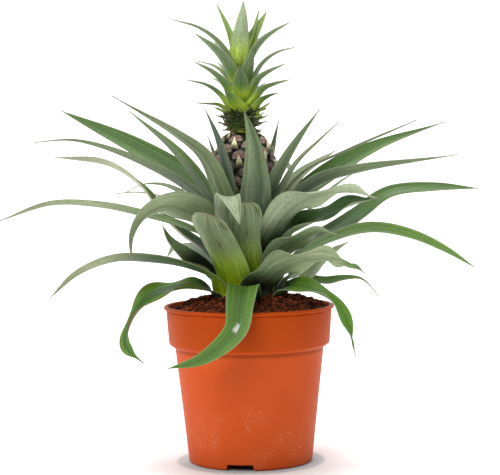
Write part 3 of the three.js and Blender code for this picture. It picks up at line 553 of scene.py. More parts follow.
class PLANT_OT_add_pot(bpy.types.Operator):
    """Adds the moulded nursery pot"""

    bl_idname = "plant.add_pot"
    bl_label = "Add Pot"

    def execute(self, context):
        settings = context.scene.plant_pot
        pot = turned_body("nursery_pot", pot_profile(settings.wall / MM), POT_SIDES)
        for k in range(FOOT_SLOTS):
            self.cut_slot(pot, FOOT_SLOT_START + k * math.tau / FOOT_SLOTS)
        ring = DRAIN_RING_MM * MM
        for k in range(DRAIN_HOLES):
            angle = (k + 0.5) * math.tau / DRAIN_HOLES
            clear_selection()
            bpy.ops.mesh.primitive_cylinder_add(
                vertices=DRAIN_HOLE_SIDES, radius=DRAIN_HOLE_RADIUS_MM * MM,
                depth=DRAIN_HOLE_DEPTH_MM * MM,
                location=(ring * math.cos(angle), ring * math.sin(angle), 0),
            )
            cut_away(pot, bpy.context.object)
        soften(pot, 40)
        put_on(pot, "pot", moulded_polypropylene(settings), "pot")
        return {"FINISHED"}

    def cut_slot(self, pot, angle):
        """A slot through the foot's edge, wider at the bottom than at the top."""
        size = FOOT_SLOT_MM
        clear_selection()
        bpy.ops.mesh.primitive_cube_add(size=1, enter_editmode=True)
        middle = (size["inner"] + size["outer"]) / 2
        rise = (size["height"] - size["below"]) / 2
        bpy.ops.transform.resize(
            value=(
                (size["outer"] - size["inner"]) * MM,
                size["foot"] * MM,
                (size["height"] + size["below"]) * MM,
            )
        )
        bpy.ops.transform.translate(value=(middle * MM, 0, rise * MM))
        mesh = bmesh.from_edit_mesh(bpy.context.object.data)
        for vertex in mesh.verts:
            vertex.select = vertex.co.z > 0
        mesh.select_flush(True)
        top = size["top"] / size["foot"]
        bpy.ops.transform.resize(value=(1, top, 1), center_override=(0, 0, 0))
        bpy.ops.object.mode_set(mode="OBJECT")
        cutter = bpy.context.object
        cutter.data.transform(Matrix.Rotation(angle, 4, "Z"))
        cut_away(pot, cutter)


# Soil

SOIL_SIDES = 160
SOIL_RING_STEP_MM = 1.1
SOIL_SEED = 11
SOIL_EDGE_MM = 56.5
FIBRE_REACH_MM = 55
BURIED_SECTION_MM = [(1, 3.8), (41.9, 3.8), (50.9, 81.9), (55.1, 85.4), (SOIL_EDGE_MM, 105)]
FLAT_TOP_MM = 106
SOIL_SECTION_MM = [
    (SOIL_EDGE_MM, 105.5), (52, 109), (45, 112.6), (36, 115.2), (28, 116.5), (18, 117.5), (1, 118),
]
# The soil lies higher towards one side of the pot
SOIL_TILT_MM = 1.6
SOIL_TILT_ANGLE = math.radians(-50)
# Lumps of the soil: how wide and how high in mm, and where their noise starts
SOIL_LUMPS_MM = ((11, 2.2, 3.7), (4.5, 1.3, 8.2), (1.8, 0.7, 1.4))
# Crumbs and fibres: the shares of the soil's area that they lie between, and what is drawn for each
CRUMB_AREA, FIBRE_AREA = (0.16, 0.92), (0.18, 0.8)
CRUMB_SIZES = (0.45, 1.1)
BIG_CRUMB_SHARE, BIG_CRUMB = 0.07, 1.8
CRUMB_SINK, CRUMB_ROUGHNESS = 0.2, 0.5
FIBRES, FIBRE_SIDES, FIBRE_RINGS = 260, 3, 7
FIBRE_LENGTH_MM, FIBRE_BEND, FIBRE_RISE_MM = (5, 15), (-1.6, 1.6), (0.2, 1.6)
FIBRE_THICK_MM, FIBRE_ABOVE_MM = (0.14, 0.34), 0.2


def soil_height(x, y):
    """Height of the loose soil in mm over a point in mm, with its lumps and hollows."""
    radius = math.hypot(x, y)
    outer = SOIL_SECTION_MM[0]
    height = SOIL_SECTION_MM[-1][1]
    for inner in SOIL_SECTION_MM[1:]:
        if radius > inner[0]:
            share = min(1.0, (outer[0] - radius) / (outer[0] - inner[0]))
            height = outer[1] + (inner[1] - outer[1]) * share
            break
        outer = inner
    share = min(1.0, radius / SOIL_EDGE_MM)
    height += SOIL_TILT_MM * share * math.cos(math.atan2(y, x) - SOIL_TILT_ANGLE)
    for wide, high, start in SOIL_LUMPS_MM:
        height += high * noise.noise(Vector((x / wide, y / wide, start)))
    return height


def on_soil(draw, least, most):
    """A random place on the soil in mm, between two shares of its area."""
    angle = draw.uniform(0, math.tau)
    radius = SOIL_EDGE_MM * math.sqrt(draw.uniform(least, most))
    return radius * math.cos(angle), radius * math.sin(angle)


def scattered(name, unit, count, drawn_copy):
    """Many copies of one small shape as one mesh.

    drawn_copy draws one copy: its tint, and a function that moves a point of the shape in mm."""
    shape = bmesh.new()
    tints = []
    for _ in range(count):
        tint, placed = drawn_copy()
        first = len(shape.verts)
        shape.from_mesh(unit.data)
        shape.verts.ensure_lookup_table()
        for vertex in shape.verts[first:]:
            vertex.co = placed(vertex.co / MM) * MM
            tints.append(rgba(tint))
    mesh = bpy.data.meshes.new(name)
    shape.to_mesh(mesh)
    shape.free()
    piece = bpy.data.objects.new(name, mesh)
    bpy.context.scene.collection.objects.link(piece)
    bpy.data.objects.remove(unit)
    paint(piece, "tint", tints)
    return piece


class PLANT_OT_add_soil(bpy.types.Operator):
    """Adds the soil with its crumbs and coir fibres"""

    bl_idname = "plant.add_soil"
    bl_label = "Add Soil"

    def execute(self, context):
        settings = context.scene.plant_soil
        material = coir_and_peat(settings)
        draw = random.Random(SOIL_SEED)
        put_on(self.bed(settings), "soil", material, "soil")
        put_on(self.crumbs(settings, draw), "soil", material)
        put_on(self.fibres(settings, draw), "soil", material)
        return {"FINISHED"}

    def bed(self, settings):
        """The body of the soil, with a lumpy top."""
        profile = list(BURIED_SECTION_MM)
        radius = SOIL_EDGE_MM
        while radius > 2 * SOIL_RING_STEP_MM:
            profile.append((radius, FLAT_TOP_MM))
            radius -= SOIL_RING_STEP_MM
        bed = turned_body("soil_bed", profile, SOIL_SIDES)
        for vertex in bed.data.vertices:
            if vertex.co.z > (FLAT_TOP_MM - 0.5) * MM:
                vertex.co.z = soil_height(vertex.co.x / MM, vertex.co.y / MM) * MM
        soften(bed, 60)
        half = mixed(settings.dark, settings.light, 0.5)
        paint(bed, "tint", [rgba(half)] * len(bed.data.vertices))
        return bed

    def crumbs(self, settings, draw):
        """Loose crumbs: one small rough ball, copied, turned and squeezed."""
        clear_selection()
        bpy.ops.mesh.primitive_ico_sphere_add(subdivisions=1, radius=0.5 * MM)

        def drawn_crumb():
            x, y = on_soil(draw, *CRUMB_AREA)
            size = settings.crumb / MM * draw.uniform(*CRUMB_SIZES)
            if draw.random() < BIG_CRUMB_SHARE:
                size *= BIG_CRUMB
            turn = Matrix.Rotation(draw.uniform(0, math.tau), 4, "Z")
            turn @= Matrix.Rotation(draw.uniform(0, math.pi), 4, "X")
            stretch = Matrix.Diagonal((draw.uniform(0.7, 1.5), draw.uniform(0.6, 1), 0.7, 1))
            centre = Vector((x, y, soil_height(x, y) + size * CRUMB_SINK))

            def placed(point):
                rough = 1 + CRUMB_ROUGHNESS * noise.noise(point * 2 + centre)
                return turn @ (stretch @ (point * rough * size)) + centre

            return mixed(settings.dark, settings.light, 1.7 * draw.random() ** 1.2), placed

        return scattered("soil_crumbs", bpy.context.object, settings.crumbs, drawn_crumb)

    def fibres(self, settings, draw):
        """Short coir fibres lying on the crumbs: three-sided strands that droop at their ends."""
        strand = turned_body("strand", [(1, k) for k in range(FIBRE_RINGS)], FIBRE_SIDES)

        def drawn_fibre():
            x, y = on_soil(draw, *FIBRE_AREA)
            heading = draw.uniform(0, math.tau)
            length = draw.uniform(*FIBRE_LENGTH_MM)
            bend = draw.uniform(*FIBRE_BEND)
            rise = draw.uniform(*FIBRE_RISE_MM)
            thick = draw.uniform(*FIBRE_THICK_MM)
            rings = []
            for k in range(FIBRE_RINGS):
                share = k / (FIBRE_RINGS - 1)
                turn = heading + bend * share
                x += math.cos(turn) * length / FIBRE_RINGS
                y += math.sin(turn) * length / FIBRE_RINGS
                inside = min(1.0, FIBRE_REACH_MM / math.hypot(x, y))
                x, y = x * inside, y * inside
                z = soil_height(x, y) + FIBRE_ABOVE_MM + rise * math.sin(math.pi * share)
                rings.append((Vector((x, y, z)), Vector((-math.sin(turn), math.cos(turn), 0))))

            def placed(point):
                middle, side = rings[round(point.z)]
                return middle + (side * point.y - Vector((0, 0, point.x))) * thick

            return mixed(settings.dark, settings.light, draw.uniform(0.6, 1.6)), placed

        return scattered("coir_fibres", strand, FIBRES, drawn_fibre)


# Stem

STEM_SIDES = 48
DAMP_STEM = (0.1, 0.1, 0.02)
STEM_DRIES_MM = (120, 155)
STEM_SECTION_MM = [
    (4, 101), (22, 101), (22.3, 104), (22.4, 118), (16.5, 129), (11.6, 138), (6.4, 148.6),
    (4.9, 151.4), (4.3, 153.6), (4.1, 162), (4.2, 171), (4.6, 173.4), (2, 173.6),
]


class PLANT_OT_add_stem(bpy.types.Operator):
    """Adds the short stem and the stalk under the fruit"""

    bl_idname = "plant.add_stem"
    bl_label = "Add Stem"

    def execute(self, context):
        leaves = context.scene.plant_leaves
        stem = turned_body("stem_and_stalk", STEM_SECTION_MM, STEM_SIDES)
        soften(stem, 50)
        low = mixed(leaves.sheath, DAMP_STEM, 0.4)
        shares = [smooth(vertex.co.z / MM, *STEM_DRIES_MM) for vertex in stem.data.vertices]
        paint(stem, "tint", [(*mixed(low, leaves.sheath, share), 0.0) for share in shares])
        set_shares(stem, "bloom", [1.0] * len(shares))
        material = waxy_leaf("green_stem_tissue", leaves, vein_count=30, bloom=0.05)
        put_on(stem, "stem", material, "stem")
        return {"FINISHED"}


# Blades: what leaves and crown leaves share

PATH_STEPS = 48
RAW_STEPS = 200
LEAST_WIDTH_MM = 0.5
TIP_CUP_LOSS = 0.55


def curve_point(points, t):
    """A point on the smooth curve through points, with knots spaced by the root of the chord."""
    place = (len(points) - 1) * t
    k = min(int(place), len(points) - 2)
    w = place - k
    before = points[k - 1] if k > 0 else 2 * points[0] - points[1]
    a, b = points[k], points[k + 1]
    after = points[k + 2] if k + 2 < len(points) else 2 * points[-1] - points[-2]
    first, middle, last = (
        max(math.sqrt((q - p).length), 1e-4) for p, q in ((before, a), (a, b), (b, after))
    )
    leaving = ((a - before) / first - (b - before) / (first + middle) + (b - a) / middle) * middle
    arriving = ((b - a) / middle - (after - a) / (middle + last) + (after - b) / last) * middle
    return (
        a + leaving * w + (3 * (b - a) - 2 * leaving - arriving) * w**2
        + (2 * (a - b) + leaving + arriving) * w**3
    )


def even_path(points):
    """Even points along the curve, and its length."""
    raw = [curve_point(points, k / RAW_STEPS) for k in range(RAW_STEPS + 1)]
    runs = [0.0]
    for a, b in zip(raw, raw[1:]):
        runs.append(runs[-1] + (b - a).length)
    spots, k = [], 0
    for step in range(PATH_STEPS + 1):
        want = runs[-1] * step / PATH_STEPS
        while k < RAW_STEPS - 1 and runs[k + 1] < want:
            k += 1
        share = (want - runs[k]) / (runs[k + 1] - runs[k])
        spots.append(raw[k].lerp(raw[k + 1], share))
    return spots, runs[-1]


def midrib(points, side):
    """Places, headings and sideways directions along a blade, and its length in mm."""
    spots, length = even_path(points)
    across = side.copy()
    frames = []
    for k, spot in enumerate(spots):
        along = (spots[min(PATH_STEPS, k + 1)] - spots[max(0, k - 1)]).normalized()
        across = (across - along * across.dot(along)).normalized()
        frames.append((spot, along, across))
    return frames, length


def midrib_at(frames, t):
    place = t * PATH_STEPS
    k = min(int(place), PATH_STEPS - 1)
    share = place - k
    spot, along, across = (p.lerp(q, share) for p, q in zip(frames[k], frames[k + 1]))
    along.normalize()
    across = (across - along * across.dot(along)).normalized()
    return spot, along, across


def taper(t, narrowing):
    late, steep = narrowing
    return max(0.0, 1 - t**late) ** steep


def blade_piece(name, frames, shape, tint_at, grid, thickness):
    """A flat grid bent along a midrib into a trough, given its thickness and its colours.

    shape gives width, half angle of the trough, twist and ripple; tint_at(t, v, upper) gives
    the colour, the dryness of the edge and the share of bloom."""

    def place_at(t, v):
        spot, along, across = midrib_at(frames, t)
        up = along.cross(across)
        twist = shape["twist"](t)
        side = across * math.cos(twist) + up * math.sin(twist)
        lift = up * math.cos(twist) - across * math.sin(twist)
        half_angle = shape["cup"](t)
        arc = shape["width"](t) / 2 / half_angle
        bend = v * half_angle
        height = arc - arc * math.cos(bend) + shape["ripple"](t, v)
        return (spot + side * arc * math.sin(bend) + lift * height) * MM

    piece, spots = thin_sheet(name, *grid, thickness, place_at)
    looks = [tint_at(*spot) for spot in spots]
    paint(piece, "tint", [(*colour, dryness) for colour, dryness, _ in looks])
    set_shares(piece, "bloom", [bloom for _, _, bloom in looks])
    soften(piece, 50)
    return piece


# Leaves

LEAF_GRID = (66, 18)
ROOT_SPREAD = 1.2
ROOT_LAYER_MM = 1.02
ROOT_MARGIN = 0.25
ROOT_FIRST_RADIUS_MM = 7
ROOT_TOP_MM = 149
ROOT_SLOPE = 1.9
ROOT_LIFT_MM = 12
ROOT_LIFT_LOSS = 0.4
ROOT_LEAN_MM = 0.5
RIB_COUNT = 5
RIB_HEIGHT_MM = 0.09
# An edge without waves, and the usual narrowing
LEVEL, USUAL = (0, 0, 0, 0), (2.2, 1.1)

# From the innermost root outwards, in mm and degrees: name, root angle, widest, half angle of the
# trough, twist by mid leaf, twist at the tip, edge wave (height, waves, start, lead of one edge),
# narrowing towards the tip (how late, how steep), midrib
LEAVES = [
    ("leaf_02", 54, 13, 45, 0, 0, LEVEL, USUAL,
     [(12, 19, 188), (18, 25, 217), (23, 29, 240)]),
    ("leaf_03", 128, 12, 45, 0, 0, LEVEL, USUAL,
     [(-16, 20, 187), (-22, 26, 211), (-28, 30, 230)]),
    ("leaf_04", -56, 17, 45, 0, 0, LEVEL, (2.2, 1.2),
     [(14, -18, 186), (24, -22, 207), (35, -26, 226), (50, -32, 247)]),
    ("leaf_05", -128, 15, 45, 0, 0, LEVEL, USUAL,
     [(-12, -19, 186), (-15, -26, 208), (-20, -29, 228), (-28, -32, 248)]),
    ("leaf_06", 12, 19, 35, 0, 0, LEVEL, USUAL,
     [(21, 8, 184), (36, 11, 210), (52, 13, 226), (66, 14, 239)]),
    ("leaf_01", -88, 28, 34, 0, 0, LEVEL, (2.2, 1.15),
     [(5, -25, 180), (6, -31, 205), (4, -35, 227), (-2, -36, 248)]),
    ("leaf_07", 87, 16, 45, 0, 0, LEVEL, USUAL,
     [(1, 30, 186), (-3, 50, 212), (-8, 82, 220), (-13, 120, 206)]),
    ("leaf_09", -132, 25, 36, 0, 0, LEVEL, (2.2, 1.6),
     [(-17, -23, 183), (-29, -33, 214), (-48, -40, 231), (-91, -44, 258)]),
    ("leaf_10", -6, 13, 40, 0, -30, LEVEL, (2.2, 1.3),
     [(23, -9.5, 184), (40, -12, 204), (69, -14, 218), (118, -15, 239)]),
    ("leaf_08", 156, 23, 40, 55, 45, LEVEL, (2.7, 1.1),
     [(-19, 5, 172), (-34, 3, 196), (-52, 1, 220), (-82, 0, 248)]),
    ("leaf_11", 40, 21, 34, 10, 10, LEVEL, USUAL,
     [(21, 16, 180), (38, 25, 201), (52, 30, 211), (64, 36, 218)]),
    ("leaf_12", 78, 18, 45, 0, 0, LEVEL, USUAL,
     [(8, 28, 178), (17, 50, 201), (27, 80, 209), (36, 118, 199)]),
    ("leaf_13", 146, 22, 42, -45, -50, LEVEL, (3.0, 1.15),
     [(-20, 12, 174), (-42, 26, 197), (-80, 41, 222), (-136, 52, 250)]),
    ("leaf_14", -27, 20, 50, -30, -25, LEVEL, (2.2, 1.4),
     [(26, -14, 176), (50, -26, 197), (77, -33, 205), (143, -40, 215)]),
    ("leaf_15", -166, 22, 45, 18, 35, LEVEL, (2.2, 1.9),
     [(-22, -5, 168), (-42, -9, 192), (-88, -12, 218), (-120, -14, 228), (-147, -16, 227)]),
    ("leaf_16", 24, 24, 45, 50, 40, LEVEL, (2.2, 1.4),
     [(28, 14, 174), (60, 34, 202), (95, 48, 221), (146, 60, 238)]),
    ("leaf_17", 118, 18, 45, 0, 0, LEVEL, USUAL,
     [(-17, 28, 172), (-32, 52, 189), (-44, 80, 194), (-52, 110, 184)]),
    ("leaf_18", -52, 30, 36, -36, -30, (5.5, 2.4, 0.2, 0.4), (2.0, 1.6),
     [(16, -21, 161), (32, -37, 181), (52, -51, 190), (70, -61, 191), (87, -68, 187)]),
    ("leaf_22", -156, 34, 33, 60, 70, LEVEL, (2.5, 0.92),
     [(-24, -21, 163), (-38, -37, 177), (-54, -52, 183),
      (-69, -61, 177), (-77, -66, 164), (-78, -68, 150)]),
    ("leaf_27", -107.9, 23.5, 40, 0, 40, LEVEL, (4, 1.1),
     [(-7.5, -26.6, 153.2), (-12, -40, 167), (-14, -50, 181),
      (-13, -62, 189), (-9, -75, 184), (-5, -82, 171)]),
    ("leaf_20", 90, 18, 45, 0, 0, LEVEL, USUAL,
     [(2, 34, 162), (5, 62, 178), (8, 94, 180), (10, 130, 168)]),
    ("leaf_21", 138, 15, 40, 0, 0, LEVEL, USUAL,
     [(-24, 24, 168), (-42, 38, 184), (-60, 48, 194), (-76, 54, 195), (-90, 60, 189)]),
    ("leaf_23", -25.0, 31, 40, 30, 40, (3, 2.5, 0.1, 0.8), USUAL,
     [(22.4, -13.0, 155), (42, -22, 169), (64, -33, 180), (88, -46, 187)]),
    ("leaf_24", 150, 13, 40, 0, 0, LEVEL, USUAL,
     [(-28, 22, 160), (-48, 40, 176), (-65, 54, 186), (-82, 62, 189), (-98, 68, 188)]),
    ("leaf_25", -164, 19, 45, 20, 35, LEVEL, USUAL,
     [(-24, -10, 155), (-44, -16, 166), (-72, -21, 175),
      (-102, -22, 182), (-137, -20, 184), (-172, -18, 173)]),
    ("leaf_26", 70, 17, 45, 0, 0, LEVEL, USUAL,
     [(17, 36, 160), (32, 64, 180), (46, 90, 184), (58, 116, 174)]),
    ("leaf_19", -87.5, 23.8, 35, 0, 0, LEVEL, (14, 0.5),
     [(-2.7, -34.7, 157.1), (-1.5, -48, 171), (-2, -60, 185)]),
    ("leaf_28", 34, 14, 40, -30, -40, LEVEL, USUAL,
     [(32, 22, 160), (52, 38, 182), (67, 52, 194), (80, 62, 202)]),
    ("leaf_29", 150, 20, 45, 15, 80, LEVEL, USUAL,
     [(-28, 15, 146), (-46, 27, 158), (-62, 37, 173),
      (-78, 43, 194), (-104, 48, 211), (-141, 52, 216)]),
    ("leaf_30", 42, 30, 45, 0, 30, LEVEL, USUAL,
     [(27, 20, 146), (57, 34, 154), (83, 43, 170),
      (104, 49, 185), (138, 53, 190), (170, 55, 189)]),
    ("leaf_32", -48, 23, 38, -35, -30, (2.5, 2.2, 0.4, 0.5), USUAL,
     [(20, -22, 144.5), (32, -40, 156), (46, -55, 164), (60, -66, 163)]),
    ("leaf_31", -10, 23, 45, -20, -30, LEVEL, (3.2, 1.1),
     [(31, -6, 141), (58, -7, 155), (86, -8, 162),
      (113, -9, 158), (138, -10, 148), (158, -12, 136)]),
    ("leaf_33", -120, 30, 30, 0, 0, LEVEL, (14, 0.5),
     [(-14, -29, 139), (-21, -44, 156), (-26, -56, 169), (-27, -63, 178)]),
    ("leaf_34", 104, 17, 45, 0, 0, LEVEL, USUAL,
     [(-9, 38, 146), (-18, 66, 161), (-26, 96, 163), (-34, 126, 150)]),
    ("leaf_35", 168, 26, 45, -30, -20, LEVEL, USUAL,
     [(-30, 8, 132), (-44, 11, 143), (-56, 13, 156), (-61, 14, 167)]),
    ("leaf_36", -75, 26, 42, -25, -10, (5, 2.8, 0.25, 1.9), (2.2, 1.3),
     [(11, -30, 129), (27, -48, 141), (46, -63, 147), (64, -75, 146), (77, -82, 138)]),
    ("leaf_37", -152, 23, 45, 28, 40, LEVEL, USUAL,
     [(-25, -19, 131), (-42, -26, 139), (-66, -31, 144),
      (-92, -32, 145), (-118, -29, 136), (-138, -24, 119)]),
    ("leaf_38", -17, 20.5, 27, 10, 35, LEVEL, USUAL,
     [(28.5, -9, 131), (38.5, -18, 138), (48, -26, 146)]),
    ("leaf_39", 80, 15, 45, 0, 0, LEVEL, USUAL,
     [(11, 40, 136), (19, 70, 144), (28, 98, 142), (36, 124, 130)]),
    ("leaf_40", 128, 17, 45, 0, 0, LEVEL, USUAL,
     [(-27, 34, 136), (-42, 56, 148), (-54, 76, 148), (-62, 94, 138)]),
    ("leaf_45", 43, 10, 20, 0, 0, LEVEL, USUAL,
     [(33, 36, 127), (44, 51, 133), (54, 63, 131)]),
    ("leaf_41", 5, 17, 35, -60, -55, LEVEL, USUAL,
     [(34, 3, 122), (43, 4, 131), (51, 5, 140), (61, 4, 148), (71, 4, 154)]),
    ("leaf_42", 36, 15, 35, 15, 0, LEVEL, (2.0, 1.6),
     [(42, 21.3, 125), (56, 26, 124), (70, 30, 126), (82, 33, 125), (95, 36, 112)]),
    ("leaf_43", -36, 17, 35, 5, -10, (2.5, 2.4, 0, 3), USUAL,
     [(28, -29, 125), (42, -39, 125), (58, -45, 117), (67, -47, 100), (72, -49, 79)]),
    ("leaf_44", -163, 24, 35, 10, 20, (3, 2.6, 0, 3), USUAL,
     [(-32, -15, 124), (-50, -25, 125), (-69, -36, 119),
      (-81, -42, 104), (-84, -44, 88), (-72, -48, 76)]),
    ("leaf_46", 98, 18, 40, 0, 0, LEVEL, USUAL,
     [(-6, 46, 129), (-10, 66, 125), (-13, 84, 108), (-15, 90, 88)]),
    ("leaf_47", -96, 23, 22, 0, 0, LEVEL, (2.0, 1.0),
     [(-3, -35, 125), (-4, -50, 127), (-6, -66, 117),
      (-9, -75, 101), (-30, -76, 83), (-55, -69, 75)]),
]

# Looks of each leaf: tones of the upper face and of the underside from its middle outwards, how dry
# the edge is, how scratched it is, how much bloom it keeps, its foot's tone and length in mm, where
# along it the inner tone gives way to the outer, a tone down its middle, stripes (tone, from, to,
# share) with -1 and 1 at its edges, and a pale scar (how far along, how far across, its size in mm);
# what a leaf's row leaves out comes from the first row
LEAF_LOOKS = {
    # The usual deep foot is painted shade low in the rosette, and the usual thin deep stripe down the
    # middle is painted shade in the groove; a sheath foot is the leaf's own yellow green
    "usual": {
        "upper": ("ash", "silver"), "under": ("ash", "silver"), "edge": 0.3, "marks": 0.0, "bloom": 1.0,
        "foot": ("deep", 40), "change": (0.3, 0.65), "centre": ("silver", 0.0),
        "stripes": (("deep", -0.02, 0.06, 0.6),), "scar": (0.0, 0.0, 0.0),
    },
    # leaf_01: the deep stripe on one half is painted shade, and the bloom stripe on the other half is a
    # painted highlight
    "leaf_01": {"stripes": (("deep", 0.1, 0.55, 0.6), ("bloom", -0.7, -0.15, 0.35)), "edge": 0.15},
    "leaf_04": {"edge": 0.2},
    "leaf_05": {"under": ("green", "ash"), "edge": 0.2},
    "leaf_06": {"under": ("silver", "silver"), "edge": 0.6},
    "leaf_08": {"upper": ("ash", "green"), "edge": 0.4, "stripes": (("fresh", 0.55, 1.2, 0.6),)},
    "leaf_09": {
        "under": ("silver", "silver"), "marks": 0.9,
        "stripes": (("mark", 0.05, 1.2, 0.2), ("bloom", -0.2, 0.02, 0.5)),
    },
    "leaf_10": {"upper": ("silver", "silver"), "under": ("silver", "silver"), "edge": 0.7},
    "leaf_11": {"upper": ("silver", "pale"), "under": ("silver", "pale")},
    "leaf_13": {"upper": ("green", "green"), "under": ("silver", "silver"), "edge": 0.9, "bloom": 0.5},
    "leaf_14": {"edge": 0.4},
    "leaf_15": {"upper": ("ash", "green"), "edge": 0.6},
    "leaf_16": {"upper": ("green", "green"), "under": ("silver", "silver"), "edge": 0.9, "bloom": 0.5},
    "leaf_18": {
        "upper": ("silver", "bloom"), "under": ("silver", "bloom"), "edge": 0.2, "change": (0.08, 0.4),
    },
    "leaf_19": {
        "upper": ("silver", "silver"), "under": ("silver", "silver"), "marks": 0.9, "edge": 0.1,
        "foot": ("sheath", 48),
    },
    "leaf_21": {"upper": ("silver", "silver"), "under": ("silver", "cream")},
    "leaf_22": {"upper": ("green", "green"), "under": ("silver", "pale"), "marks": 0.3},
    "leaf_23": {
        "upper": ("deep", "deep"), "under": ("silver", "silver"), "centre": ("green", 0.3), "bloom": 0.1,
    },
    "leaf_24": {"upper": ("silver", "silver"), "under": ("silver", "cream")},
    "leaf_25": {"upper": ("green", "green"), "under": ("green", "pale"), "edge": 0.6},
    "leaf_27": {
        "upper": ("silver", "bloom"), "under": ("silver", "bloom"), "marks": 0.5, "edge": 0.1,
        "foot": ("sheath", 44), "change": (0.15, 0.4), "stripes": (("green", 0.5, 1.2, 0.4),),
    },
    "leaf_28": {"upper": ("silver", "silver"), "under": ("silver", "pale")},
    "leaf_29": {"upper": ("deep", "green"), "under": ("silver", "cream"), "edge": 0.6},
    "leaf_30": {"upper": ("deep", "green"), "under": ("silver", "pale"), "edge": 0.6, "bloom": 0.5},
    "leaf_31": {
        "upper": ("green", "green"), "under": ("green", "fresh"), "centre": ("silver", 0.6),
        "bloom": 0.5,
    },
    "leaf_32": {"upper": ("silver", "pale"), "under": ("silver", "silver"), "edge": 0.2},
    "leaf_33": {
        "upper": ("silver", "silver"), "under": ("silver", "silver"), "marks": 1.0, "edge": 0.3,
        "foot": ("sheath", 50), "bloom": 0.6,
        "stripes": (("mark", -1.2, 1.2, 0.14), ("mark", -0.2, 0.3, 0.2), ("bloom", -1.2, -0.6, 0.3)),
    },
    "leaf_35": {
        "upper": ("painted_shade_green", "silver"), "under": ("silver", "silver"), "edge": 0.15, "bloom": 0.15,
        "foot": ("painted_shade_green", 30), "change": (0.45, 0.7),
    },
    "leaf_36": {
        "upper": ("green", "green"), "under": ("silver", "pale"), "edge": 0.2, "foot": ("painted_shade_green", 40),
    },
    "leaf_37": {
        "upper": ("deep", "green"), "under": ("deep", "pale"), "edge": 0.5, "foot": ("sheath", 34),
        "change": (0.42, 0.72), "bloom": 0.6,
    },
    "leaf_38": {
        "upper": ("painted_shade_green", "painted_shade_green"), "under": ("silver", "silver"), "edge": 0.1, "bloom": 0.1,
        "foot": ("painted_shade_green", 30),
    },
    "leaf_40": {"foot": ("sheath", 46)},
    "leaf_41": {"upper": ("silver", "pale"), "under": ("silver", "pale"), "foot": ("sheath", 30)},
    "leaf_42": {
        "upper": ("fresh", "fresh"), "under": ("fresh", "silver"), "edge": 0.9, "bloom": 0.3,
    },
    "leaf_43": {
        "upper": ("fresh", "fresh"), "under": ("green", "green"), "edge": 0.2, "bloom": 0.1,
        "foot": ("painted_shade_green", 20),
    },
    "leaf_44": {
        "upper": ("fresh", "fresh"), "under": ("green", "silver"), "edge": 1.0, "bloom": 0.05,
        "foot": ("deep", 26), "stripes": (("deep", -0.5, 0.6, 0.6), ("margin", -1.2, -0.85, 0.3)),
    },
    "leaf_47": {
        "upper": ("fresh", "fresh"), "under": ("green", "green"), "centre": ("deep", 0.35),
        "bloom": 0.3, "edge": 0.1, "foot": ("deep", 20), "scar": (0.55, -0.02, 3.4),
    },
}
GREEN_SLOT_LEAVES = (
    "leaf_13", "leaf_16", "leaf_23", "leaf_30", "leaf_31", "leaf_35", "leaf_38",
    "leaf_42", "leaf_43", "leaf_44", "leaf_47",
)
FOOT_FULL_MM = 8
TIP_DRY_SHARE = 0.965
TIP_DRYNESS = 0.7
STRIPE_BLUR = 0.12
SCAR_TINT = to_linear("#dfe4d2")
SCAR_RAG = 0.6


def half_turn(width, radius):
    """Half the angle round the stem that a root of this width takes up."""
    return min(width, ROOT_SPREAD * radius) / 2 / radius


def root_radii():
    """Leaves wrap the stem in layers: each root stands outside every root that it overlaps."""
    radii = []
    for k, (_, angle, width, *_) in enumerate(LEAVES):
        radius = ROOT_FIRST_RADIUS_MM
        for j in range(k):
            apart = abs((angle - LEAVES[j][1] + 180) % 360 - 180)
            reach = half_turn(LEAVES[j][2], radii[j]) + half_turn(width, radius) + ROOT_MARGIN
            if math.radians(apart) < reach:
                radius = max(radius, radii[j] + ROOT_LAYER_MM)
        radii.append(radius)
    return radii


def leaf_shape(widest, cup, twist_middle, twist_tip, wave, narrowing, radius):
    """How a leaf's width, trough, twist and ripple change from root to tip."""
    root_width = min(widest, ROOT_SPREAD * radius)
    root_cup = root_width / 2 / radius
    wave_height, waves, wave_start, wave_lead = wave

    def width(t):
        full = root_width + (widest - root_width) * smooth(t, 0, 0.28)
        return max(LEAST_WIDTH_MM, full * taper(t, narrowing))

    def cup_at(t):
        opened = root_cup + (math.radians(cup) - root_cup) * smooth(t, 0.02, 0.3)
        return opened * (1 - TIP_CUP_LOSS * smooth(t, 0.6, 1))

    def twist(t):
        late = (twist_tip - twist_middle) * smooth(t, 0.5, 1)
        return math.radians(twist_middle * smooth(t, 0.1, 0.55) + late)

    def ripple(t, v):
        fade = smooth(t, 0.12, 0.3) * (1 - smooth(t, 0.85, 1))
        phase = math.tau * (waves * t + wave_start) + (0 if v < 0 else wave_lead)
        edge_wave = wave_height * fade * abs(v) ** 3 * math.sin(phase)
        ribs = RIB_HEIGHT_MM * math.cos(RIB_COUNT * math.pi * v) * (1 - smooth(t, 0.8, 1))
        return edge_wave + ribs

    return {"width": width, "cup": cup_at, "twist": twist, "ripple": ripple}


